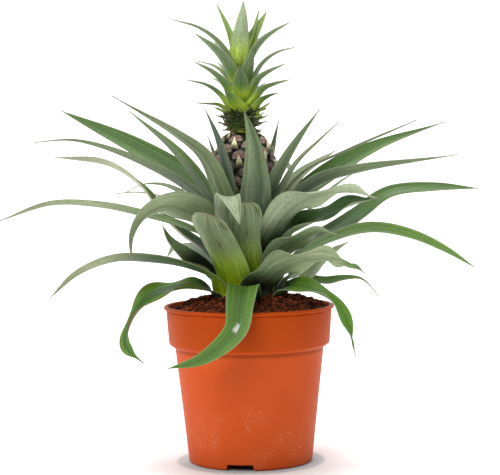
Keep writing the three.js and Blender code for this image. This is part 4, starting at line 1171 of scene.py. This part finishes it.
def leaf_tints(settings, look, length, widest):
    """The function that gives a leaf's colour, the dryness of its edge and its bloom at a place."""
    tones = {face: [getattr(settings, tone) for tone in look[face]] for face in ("upper", "under")}
    centre_tone, centre_share = look["centre"]
    foot_tone, foot_end = look["foot"]
    scar_t, scar_v, scar_size = look["scar"]
    dry = mixed(settings.margin, settings.cream, 0.3)

    def tint_at(t, v, upper):
        colour = mixed(*tones["upper" if upper else "under"], smooth(t, *look["change"]))
        if upper:
            colour = mixed(colour, getattr(settings, centre_tone), centre_share * (1 - v * v))
        for tone, start, stop, share in look["stripes"]:
            share *= smooth(v, start - STRIPE_BLUR, start + STRIPE_BLUR)
            share *= 1 - smooth(v, stop - STRIPE_BLUR, stop + STRIPE_BLUR)
            colour = mixed(colour, getattr(settings, tone), share * smooth(t, 0.1, 0.3))
        # The foot's tone: a sheath foot is the leaf's own yellow green, and a deep or darkest green foot
        # is painted shade
        foot = (1 - smooth(t * length, FOOT_FULL_MM, foot_end)) * (1 - 0.2 * abs(v))
        colour = mixed(colour, getattr(settings, foot_tone), foot)
        if upper and scar_size:
            along, across = (t - scar_t) * length, (v - scar_v) * widest / 2
            ragged = 1 + SCAR_RAG * noise.noise(Vector((along, across, 2.5)))
            reach = math.hypot(along * 0.8 + across * 0.5, across * 1.3) * ragged
            colour = mixed(colour, SCAR_TINT, 1 - smooth(reach, 0.6 * scar_size, scar_size))
        end = smooth(t, TIP_DRY_SHARE, 1)
        dryness = max(look["edge"] * (1 - foot), end)
        return mixed(colour, dry, end * TIP_DRYNESS), dryness, look["bloom"] * (1 - foot)

    return tint_at


class PLANT_OT_add_leaves(bpy.types.Operator):
    """Adds the large strap leaves"""

    bl_idname = "plant.add_leaves"
    bl_label = "Add Leaves"

    def execute(self, context):
        settings = context.scene.plant_leaves
        material = waxy_leaf("waxy_strap_leaf", settings, vein_count=42, bloom=0.3)
        for row, radius in zip(LEAVES, root_radii()):
            self.add_leaf(settings, material, row, radius)
        return {"FINISHED"}

    def add_leaf(self, settings, material, row, radius):
        """One leaf, from its row of the table and the radius of its root."""
        name, degrees, widest, *bends, points = row
        angle = math.radians(degrees)
        outward = Vector((math.cos(angle), math.sin(angle), 0))
        side = Vector((-math.sin(angle), math.cos(angle), 0))
        up = Vector((0, 0, 1))
        layer = radius - ROOT_FIRST_RADIUS_MM
        root = outward * radius + up * (ROOT_TOP_MM - ROOT_SLOPE * layer)
        sheath = root + outward * ROOT_LEAN_MM + up * (ROOT_LIFT_MM - ROOT_LIFT_LOSS * layer)
        frames, length = midrib([root, sheath, *(Vector(p) for p in points)], side)
        shape = leaf_shape(widest, *bends, radius)
        look = LEAF_LOOKS["usual"] | LEAF_LOOKS.get(name, {})
        leaf = blade_piece(
            "strap_" + name, frames, shape, leaf_tints(settings, look, length, widest),
            LEAF_GRID, settings.thickness,
        )
        set_shares(leaf, "marks", [look["marks"]] * len(leaf.data.vertices))
        slot = "green_leaf" if name in GREEN_SLOT_LEAVES else "silver_leaf"
        put_on(leaf, slot, material, name)


# Fruit

FRUIT_X_MM = -2
FRUIT_RADIUS_MM = 19.8
FRUIT_FOOT_MM, FRUIT_TOP_MM = 174, 233
FRUIT_SQUARENESS = 0.86
FRUIT_RINGS, FRUIT_SIDES = 24, 64
SKIN_DEPTH_MM = 0.8
GOLDEN_TURN = math.pi * (3 - math.sqrt(5))
EYE_COUNT = 64
EYE_START = math.radians(-30)
FIRST_EYE_MM, LAST_EYE_MM = FRUIT_FOOT_MM + 3, FRUIT_TOP_MM - 2
FLAP_ANGLES = (25, 90, 155)
# The fruit is shaded by the leaves below these heights
SHADED_BELOW_MM = (206, 222)
FRUIT_SEED = 5


def fruit_radius(height):
    """Radius of the fruit at a height in mm."""
    middle = (FRUIT_TOP_MM + FRUIT_FOOT_MM) / 2
    half = (FRUIT_TOP_MM - FRUIT_FOOT_MM) / 2
    share = max(-1.0, min(1.0, (height - middle) / half))
    return FRUIT_RADIUS_MM * max(0.0, 1 - share * share) ** (FRUIT_SQUARENESS / 2)


class PLANT_OT_add_fruit(bpy.types.Operator):
    """Adds the young fruit with its eyes and bracts"""

    bl_idname = "plant.add_fruit"
    bl_label = "Add Fruit"

    def execute(self, context):
        settings = context.scene.plant_fruit
        draw = random.Random(FRUIT_SEED)
        profile = []
        for k in range(FRUIT_RINGS + 1):
            share = (1 - math.cos(math.pi * k / FRUIT_RINGS)) / 2
            height = FRUIT_FOOT_MM + (FRUIT_TOP_MM - FRUIT_FOOT_MM) * share
            profile.append((max(1.0, fruit_radius(height) - SKIN_DEPTH_MM), height))
        core = turned_body("fruit_core", profile, FRUIT_SIDES)
        core.data.transform(Matrix.Translation((FRUIT_X_MM * MM, 0, 0)))
        paint(core, "tint", [rgba(settings.eye)] * len(core.data.vertices))
        unit = self.eye_unit(settings)
        pieces = [core]
        for k in range(EYE_COUNT):
            height = FIRST_EYE_MM + (LAST_EYE_MM - FIRST_EYE_MM) * (k + 0.5) / EYE_COUNT
            pieces.append(self.place_eye(unit, EYE_START + k * GOLDEN_TURN, height, draw))
        bpy.data.objects.remove(unit)
        fruit = joined("young_fruit", pieces)
        soften(fruit, 40)
        put_on(fruit, "fruit", papery_fruit(), "fruit")
        return {"FINISHED"}

    def eye_unit(self, settings):
        """One eye in mm on the XZ plane, facing -Y: a low dome, three flaps above and a bract below."""
        clear_selection()
        bpy.ops.mesh.primitive_uv_sphere_add(segments=14, ring_count=8, radius=1)
        dome = bpy.context.object
        size = settings.eye_size / MM
        dome.data.transform(Matrix.Diagonal((size * 0.45, 1.8, size * 0.45, 1)))
        paint(dome, "tint", [rgba(settings.eye)] * len(dome.data.vertices))
        flaps = [self.flap(settings, math.radians(k), size * 0.42) for k in FLAP_ANGLES]
        return joined("eye_unit", [dome, *flaps, self.bract(settings, size)])

    def flap(self, settings, angle, length):
        """A small pointed flap that leans over the middle of the eye."""
        turn = Matrix.Rotation(angle - math.pi / 2, 3, "Y")

        def place_at(t, v):
            half = length * 0.5 * math.sin(math.pi * min(1.0, 0.2 + 0.8 * t)) ** 0.7 + 0.05
            out = -1.7 - 1.3 * math.sin(t * 2.2) + 0.5 * abs(v)
            return turn @ Vector((v * half, out, length * (1.02 - 0.95 * t)))

        flap, spots = thin_sheet("flap", rows=5, columns=4, thickness=0.35, place_at=place_at)
        tints = []
        for t, v, _ in spots:
            colour = mixed(settings.sepal, settings.rim, 0.4 * smooth(abs(v), 0.6, 1))
            colour = mixed(colour, settings.eye, 0.5 * (1 - smooth(t, 0.0, 0.3)))
            rib = (1 - smooth(abs(v), 0.1, 0.6)) * smooth(t, 0.2, 0.8)
            tints.append(rgba(mixed(colour, settings.ray, rib)))
        paint(flap, "tint", tints)
        return flap

    def bract(self, settings, size):
        """The pointed bract that rises over the lower half of the eye."""

        def place_at(t, v):
            half = size * 0.25 * (1 - t**1.3) + 0.06
            out = -1.9 - 1.5 * math.sin(t * 1.9) - 0.9 * t * t + 0.9 * v * v * (1 - t)
            return Vector((v * half, out, size * (-0.62 + 0.74 * t)))

        bract, spots = thin_sheet("bract", rows=8, columns=6, thickness=0.4, place_at=place_at)
        tints = []
        for t, v, _ in spots:
            colour = mixed(settings.eye, settings.bract, smooth(t, 0.0, 0.4))
            dry_edge = 0.4 * smooth(abs(v), 0.5, 1) * smooth(t, 0, 0.3)
            tints.append(rgba(mixed(colour, settings.tip, max(smooth(t, 0.2, 0.55), dry_edge))))
        paint(bract, "tint", tints)
        return bract

    def place_eye(self, unit, angle, height, draw):
        """A copy of the eye on the fruit's skin, turned outwards, smaller near both ends."""
        radius = fruit_radius(height)
        slope = math.atan2(fruit_radius(height + 1) - fruit_radius(height - 1), 2)
        scale = (0.55 + 0.45 * smooth(radius, 6, 17)) * draw.uniform(0.92, 1.06)
        eye = unit.copy()
        eye.data = unit.data.copy()
        bpy.context.scene.collection.objects.link(eye)
        turn = Matrix.Rotation(angle + math.pi / 2, 4, "Z")
        lean = Matrix.Rotation(slope, 4, "X")
        spin = Matrix.Rotation(draw.uniform(-0.12, 0.12), 4, "Y")
        out = Vector((radius * math.cos(angle) + FRUIT_X_MM, radius * math.sin(angle), height))
        eye.data.transform(
            Matrix.Translation(out * MM) @ turn @ lean @ spin @ Matrix.Scale(scale * MM, 4)
        )
        # Each eye's tone varies at random, and below the shaded heights it is also darkened as painted
        # shade from the leaves
        tone_and_shade = draw.uniform(0.75, 1.4) * (0.4 + 0.6 * smooth(height, *SHADED_BELOW_MM))
        for point in eye.data.color_attributes["tint"].data:
            point.color = (*(min(1.0, channel * tone_and_shade) for channel in point.color[:3]), 1.0)
        return eye


# Crown

CROWN_X_MM = -3.5
CROWN_FOOT_MM = 233.3
CORE_SINK_MM = 3
CORE_SIDES = 32
CROWN_CUP = 42
SMALL_BLADE_MM = 20
CROWN_TAPER = (1.9, 0.92)
CORE_SECTION_MM = [(8.4, -1.6), (8.8, 6), (7.6, 18), (5.8, 34), (3.8, 50), (1.6, 62), (0.6, 66)]

# Large crown leaves in mm: widest, then the points of the midrib from the core outwards
CROWN_LEAVES = [
    (17, [(-5, -7, 282), (-4, -8, 297), (-2, -7, 312), (-1, -5, 323)]),
    (8, [(-7, 5, 285), (-12, 9, 304), (-20, 14, 323)]),
    (13, [(-1, 6, 285), (6, 9, 300), (15, 13, 317)]),
    (6, [(1, 6, 290), (6, 10, 303), (10, 14, 319)]),
    (11, [(-9, -2, 278), (-19, -4, 294), (-33, -6, 305), (-51, -8, 311)]),
    (14, [(-9, -7, 269), (-14, -11, 280), (-23, -16, 291), (-34, -20, 300)]),
    (13, [(2, -3, 278), (9, -5, 291), (18, -7, 300), (31, -9, 308)]),
    (12, [(5, -2, 267), (12, -3, 279), (22, -4, 287), (35, -5, 291)]),
    (10, [(-10, 3, 264), (-16, 5, 273), (-23, 8, 279), (-35, 11, 283)]),
    (13, [(-11, -6, 258), (-17, -9, 267), (-24, -13, 274), (-35, -17, 281)]),
    (18, [(-4, -9, 256), (-4, -13, 263), (-4, -17, 271), (-4, -20, 278)]),
    (14, [(-1, -8, 266), (2, -11, 277), (5, -14, 290)]),
    (12, [(4, -6, 258), (9, -9, 268), (17, -12, 274), (27, -15, 279)]),
    (12, [(-12, -4, 248), (-19, -6, 258), (-28, -9, 265), (-41, -12, 269)]),
    (12, [(4, -7, 251), (12, -10, 261), (20, -13, 265), (30, -16, 268)]),
    (8, [(4, 4, 255), (9, 7, 263), (14, 10, 267)]),
    (8, [(-11, 5, 256), (-17, 8, 266), (-24, 12, 271)]),
    (16, [(-4, -9, 245), (-7, -13, 251), (-12, -16, 258), (-15, -17, 262)]),
    (12, [(3, -7, 243), (10, -9, 253), (16, -12, 257), (22, -14, 259)]),
    (10, [(-12, -4, 245), (-20, -6, 251), (-27, -8, 252), (-35, -10, 253)]),
    (9, [(4, -5, 242), (11, -7, 248), (17, -9, 253)]),
]

# Rows and columns of each kind of blade
LARGE_GRID, FAR_GRID, SPIKE_GRID, SCALE_GRID = (26, 8), (20, 6), (10, 4), (10, 5)
FAR_COUNT = 8
FAR_TURN, FAR_SPREAD = 137.5, 45
FAR_FIRST_MM, FAR_STEP_MM = 243, 5
FAR_REACH_MM, FAR_RISE_MM, FAR_WIDTH_MM, FAR_START_MM = 28, 24, 9, 7
# Rings of spikes: height over the foot of the crown, how far out they end and how far up
SPIKE_RINGS_MM = ((1.5, 15.5, -2), (4.5, 18.5, 0), (8, 20, 2), (11.5, 20.5, 4))
SPIKES_A_RING = 13
SPIKE_WIDTH_MM, SPIKE_START_MM = 7.5, 7.5
SCALE_RINGS_MM = (0, 2.2, 4.4, 6.6)
SCALES_A_RING = 8
SCALE_WIDTH_MM = 12
# Distance from the middle and rise of the points of a scale
SCALE_PATH_MM = ((7.2, 0), (11, 4.5), (13.4, 9.5))
CROWN_SEED = 3
# Blades that start below the first heights are old and dark, and those that end above the second
# are young and pale
OLD_BELOW_MM, YOUNG_ABOVE_MM = (236, 256), (313, 320)
# Distances from the middle that a blade's tip reaches sideways and towards the viewer
TIP_BESIDE_MM, TIP_FACING_MM = (12, 18), (12, 18)
LONG_FOOT_BELOW_MM = (248, 264)


def around_core(angle, *points):
    """Points in mm round the crown's middle, from their distance and height."""
    return [
        (CROWN_X_MM + radius * math.cos(angle), radius * math.sin(angle), z) for radius, z in points
    ]


def far_leaves():
    """The leaves at the back of the crown: their width and their points."""
    for k in range(FAR_COUNT):
        angle = math.radians(90 + FAR_SPREAD * math.sin(math.radians(FAR_TURN * k)))
        z = FAR_FIRST_MM + FAR_STEP_MM * k
        yield FAR_WIDTH_MM, around_core(
            angle, (FAR_START_MM, z), (FAR_REACH_MM * 0.45, z + FAR_RISE_MM * 0.55),
            (FAR_REACH_MM, z + FAR_RISE_MM),
        )


def spikes(draw):
    """Rings of small dark leaves that stand out at the crown's foot."""
    for ring, (height, reach, rise) in enumerate(SPIKE_RINGS_MM):
        for k in range(SPIKES_A_RING):
            turns = k + ring / len(SPIKE_RINGS_MM) + draw.uniform(-0.2, 0.2)
            z = CROWN_FOOT_MM + height + draw.uniform(-0.8, 0.8)
            far = SPIKE_START_MM + (reach - SPIKE_START_MM) * draw.uniform(0.75, 1)
            half = (SPIKE_START_MM + far) / 2
            yield SPIKE_WIDTH_MM, around_core(
                math.tau * turns / SPIKES_A_RING, (SPIKE_START_MM, z),
                (half, z + rise * 0.5 - draw.uniform(0, 1)), (far, z + rise + draw.uniform(-0.5, 2)),
            )


def scales(draw):
    """Rings of short broad scales that lie against the core."""
    for ring, height in enumerate(SCALE_RINGS_MM):
        for k in range(SCALES_A_RING):
            turns = k + 0.5 * (ring % 2) + draw.uniform(0, 0.3)
            z = CROWN_FOOT_MM + height + draw.uniform(-1, 1)
            path = [(radius, z + rise) for radius, rise in SCALE_PATH_MM]
            yield SCALE_WIDTH_MM, around_core(math.tau * turns / SCALES_A_RING, *path)


class PLANT_OT_add_crown(bpy.types.Operator):
    """Adds the crown of small leaves on the fruit"""

    bl_idname = "plant.add_crown"
    bl_label = "Add Crown"

    def execute(self, context):
        settings = context.scene.plant_crown
        leaves = context.scene.plant_leaves
        profile = [(radius, CROWN_FOOT_MM + height) for radius, height in CORE_SECTION_MM]
        core = turned_body("crown_core", profile, CORE_SIDES)
        core.data.transform(Matrix.Translation((CROWN_X_MM * MM, 0, 0)))
        core_tint = (*mixed(settings.foot, settings.dark, 0.4), 0.0)
        paint(core, "tint", [core_tint] * len(core.data.vertices))
        draw = random.Random(CROWN_SEED)
        pieces = [core]
        for grid, blades in (
            (LARGE_GRID, CROWN_LEAVES), (FAR_GRID, far_leaves()),
            (SPIKE_GRID, spikes(draw)), (SCALE_GRID, scales(draw)),
        ):
            pieces += [self.blade(settings, leaves, grid, *blade) for blade in blades]
        crown = joined("fruit_crown", pieces)
        material = waxy_leaf("waxy_crown_leaf", leaves, vein_count=22, bloom=0.12)
        put_on(crown, "crown", material, "crown")
        return {"FINISHED"}

    def blade(self, settings, leaves, grid, widest, points):
        """One leaf of the crown, rooted in its core."""
        free = [Vector(p) for p in points]
        outward = Vector((free[0].x - CROWN_X_MM, free[0].y, 0)).normalized()
        side = Vector((-outward.y, outward.x, 0))
        root_height = max(free[0].z - 2 * CORE_SINK_MM, CROWN_FOOT_MM + CORE_SINK_MM / 2)
        root = Vector((CROWN_X_MM, 0, root_height)) + outward * CORE_SINK_MM
        frames, length = midrib([root, *free], side)
        shape = {
            "width": lambda t: max(
                LEAST_WIDTH_MM,
                widest * (0.8 + 0.2 * smooth(t, 0, 0.3)) * taper(t, CROWN_TAPER),
            ),
            "cup": lambda t: math.radians(CROWN_CUP) * (1 - TIP_CUP_LOSS * smooth(t, 0.5, 1)),
            "twist": lambda t: 0.0,
            "ripple": lambda t, v: 0.0,
        }
        tint_at = self.tints(settings, leaves.margin, free[0], free[-1], length)
        return blade_piece("crown_blade", frames, shape, tint_at, grid, leaves.thickness)

    def tints(self, settings, margin, start, end, length):
        """The function that gives a blade's colour, dryness and bloom at a place.

        Low blades are dark, the blades that point at the viewer are shaded in their groove, and
        the highest are young and pale."""
        age = 1 - smooth(start.z, *OLD_BELOW_MM)
        youth = smooth(end.z, *YOUNG_ABOVE_MM)
        young = settings.top if start.y < 0 else settings.fresh
        small = length < SMALL_BLADE_MM
        beside = smooth(abs(end.x - CROWN_X_MM), *TIP_BESIDE_MM)
        facing = smooth(-end.y, *TIP_FACING_MM) * (1 - beside) * (1 - youth)
        colour = mixed(mixed(settings.blade, settings.dark, max(age, 0.5 * facing)), young, youth)
        if small:
            colour = settings.dark
        foot_length = 7 if small else 11 + 9 * youth + 8 * (1 - smooth(start.z, *LONG_FOOT_BELOW_MM))
        flank_share = 0.25 if small else 0.7 * (1 - youth)
        foot_share = 0.35 if small else 0.95 - 0.2 * youth

        def tint_at(t, v, upper):
            run = t * length
            flank = 1 - smooth(run, foot_length, 2.2 * foot_length)
            tint = mixed(colour, settings.flank, flank_share * flank)
            foot = 1 - smooth(run, 0.5 * foot_length, 1.4 * foot_length)
            tint = mixed(tint, settings.foot, foot_share * foot)
            if upper:
                tint = mixed(tint, settings.fresh, 0.2)
            groove = facing * (1 - smooth(abs(v), 0.05, 0.3)) * (1 - foot)
            tint = mixed(tint, settings.dark, 0.5 * groove)
            if not small:
                tint = mixed(tint, settings.edge, 0.4 * smooth(abs(v), 0.8, 1) * (1 - foot))
            tint = mixed(tint, margin, 0.5 * smooth(t, 0.93, 1))
            return tint, 0.8 if small else 0.1, 0.1 if small else 1 - foot

        return tint_at


# Stage

# The camera was worked out in pixels of the photograph, which is 500 wide
IMAGE_WIDTH = 500
CAMERA_FOCAL_PX = 1706
CAMERA_MIDDLE_PX = 248
HORIZON_ABOVE_MIDDLE_PX = 99.4
CAMERA_DISTANCE_MM = 1200
CAMERA_HEIGHT_MM = 228
CAMERA_PITCH = math.atan(HORIZON_ABOVE_MIDDLE_PX / CAMERA_FOCAL_PX)
CAMERA_ROLL = math.radians(0.75)
SENSOR_MM = 36
FLOOR_HALF_WIDTH = 5
FLOOR_FRONT, FLOOR_BACK = -0.9, 2.6
WALL_HEIGHT = 4
COVE_RADIUS, COVE_STEPS = 1.2, 12
WORLD_STRENGTH = 0.06
# Softboxes: name, the setting and the share of it that gives their power, place, size and target
SOFTBOXES = (
    ("front_left_softbox", "key", 1, (-0.65, -1.6, 1.4), 1.2, (0, 0, 0.15)),
    ("left_softbox", "fill", 1, (-1.6, 0.1, 0.7), 0.9, (0, 0, 0.15)),
    ("right_softbox", "fill", 0.65, (1.6, 0.1, 0.7), 0.9, (0, 0, 0.15)),
    ("top_softbox", "key", 0.66, (0.1, 0.0, 1.9), 1.3, (0, 0, 0.1)),
    ("wall_softbox", "key", 1.9, (0, 1.1, 2.2), 1.6, (0, 2.4, 0.4)),
)


class PLANT_OT_add_stage(bpy.types.Operator):
    """Adds the paper background, the softboxes and the camera"""

    bl_idname = "plant.add_stage"
    bl_label = "Add Stage"

    def execute(self, context):
        settings = context.scene.plant_stage
        self.camera(context)
        self.paper(settings)
        for name, power, share, place, size, target in SOFTBOXES:
            self.softbox(name, getattr(settings, power) * share, place, size, target)
        world = bpy.data.worlds.new("studio_light")
        context.scene.world = world
        world.use_nodes = True
        feed(world.node_tree.nodes["Background"], {"Color": rgba(WHITE), "Strength": WORLD_STRENGTH})
        context.scene.view_settings.view_transform = "Standard"
        return {"FINISHED"}

    def camera(self, context):
        """The photograph's view: level with the crown, a little tilted down."""
        right, up = Vector((1, 0, 0)), Vector((0, math.sin(CAMERA_PITCH), math.cos(CAMERA_PITCH)))
        ahead = Vector((0, math.cos(CAMERA_PITCH), -math.sin(CAMERA_PITCH)))
        turn_cos, turn_sin = math.cos(CAMERA_ROLL), math.sin(CAMERA_ROLL)
        across = right * turn_cos - up * turn_sin
        upward = right * turn_sin + up * turn_cos
        place = Matrix((across, upward, -ahead)).transposed().to_4x4()
        place.translation = Vector((0, -CAMERA_DISTANCE_MM * MM, CAMERA_HEIGHT_MM * MM))
        bpy.ops.object.camera_add()
        camera = context.object
        camera.name = "photo_camera"
        camera.matrix_world = place
        camera.data.sensor_width = SENSOR_MM
        camera.data.lens = SENSOR_MM * CAMERA_FOCAL_PX / IMAGE_WIDTH
        camera.data.shift_x = (IMAGE_WIDTH / 2 - CAMERA_MIDDLE_PX) / IMAGE_WIDTH
        context.scene.camera = camera

    def paper(self, settings):
        """Background paper: a floor whose back edge is drawn up round a cove into a wall."""
        floor_back = FLOOR_BACK - COVE_RADIUS
        clear_selection()
        bpy.ops.mesh.primitive_plane_add(size=1, enter_editmode=True)
        bpy.ops.transform.resize(value=(2 * FLOOR_HALF_WIDTH, floor_back - FLOOR_FRONT, 1))
        bpy.ops.transform.translate(value=(0, (floor_back + FLOOR_FRONT) / 2, 0))
        paper = bpy.context.object
        name_piece(paper, "background_paper")
        bpy.ops.mesh.select_all(action="DESELECT")
        mesh = bmesh.from_edit_mesh(paper.data)
        for vertex in mesh.verts:
            vertex.select = vertex.co.y > 0
        mesh.select_flush(True)
        line = [(floor_back, 0.0)]
        for k in range(1, COVE_STEPS + 1):
            angle = math.pi / 2 * k / COVE_STEPS
            line.append(
                (floor_back + COVE_RADIUS * math.sin(angle), COVE_RADIUS * (1 - math.cos(angle)))
            )
        line.append((FLOOR_BACK, WALL_HEIGHT))
        for (y, z), (next_y, next_z) in zip(line, line[1:]):
            bpy.ops.mesh.extrude_region_move(
                TRANSFORM_OT_translate={"value": (0, next_y - y, next_z - z)}
            )
        bpy.ops.object.mode_set(mode="OBJECT")
        soften(paper, 60)
        paper.data.materials.append(matt_paper(settings))

    def softbox(self, name, power, place, size, target):
        bpy.ops.object.light_add(type="AREA", location=place)
        light = bpy.context.object
        light.name = name
        light.data.shape = "SQUARE"
        light.data.size = size
        light.data.energy = power
        aim = Vector(target) - Vector(place)
        light.rotation_euler = aim.to_track_quat("-Z", "Y").to_euler()


class PLANT_PT_panel(bpy.types.Panel):
    """Lists the steps that build the plant, with their settings"""

    bl_idname = "PLANT_PT_panel"
    bl_label = "Potted Pineapple Plant"
    bl_space_type = "VIEW_3D"
    bl_region_type = "UI"
    bl_category = "Plant"

    def draw(self, context):
        for settings_name, operators in PANEL_ROWS:
            box = self.layout.box()
            settings = getattr(context.scene, settings_name)
            for key in settings.__annotations__:
                box.prop(settings, key)
            for operator in operators:
                box.operator(operator)


SETTINGS = {
    "plant_pot": PotSettings,
    "plant_soil": SoilSettings,
    "plant_leaves": LeafSettings,
    "plant_fruit": FruitSettings,
    "plant_crown": CrownSettings,
    "plant_stage": StageSettings,
}
PANEL_ROWS = (
    ("plant_stage", ("plant.add_stage",)),
    ("plant_pot", ("plant.add_pot",)),
    ("plant_soil", ("plant.add_soil",)),
    ("plant_leaves", ("plant.add_stem", "plant.add_leaves")),
    ("plant_fruit", ("plant.add_fruit",)),
    ("plant_crown", ("plant.add_crown",)),
)
CLASSES = (
    *SETTINGS.values(),
    PLANT_OT_add_stage,
    PLANT_OT_add_pot,
    PLANT_OT_add_soil,
    PLANT_OT_add_stem,
    PLANT_OT_add_leaves,
    PLANT_OT_add_fruit,
    PLANT_OT_add_crown,
    PLANT_PT_panel,
)


def register():
    for kind in CLASSES:
        bpy.utils.register_class(kind)
    for name, kind in SETTINGS.items():
        setattr(bpy.types.Scene, name, bpy.props.PointerProperty(type=kind))


def unregister():
    for name in SETTINGS:
        delattr(bpy.types.Scene, name)
    for kind in reversed(CLASSES):
        bpy.utils.unregister_class(kind)


def main():
    register()
    for _, operators in PANEL_ROWS:
        for operator in operators:
            group, step = operator.split(".")
            if getattr(getattr(bpy.ops, group), step)() != {"FINISHED"}:
                raise RuntimeError(operator + " did not finish")


if __name__ == "__main__":
    main()
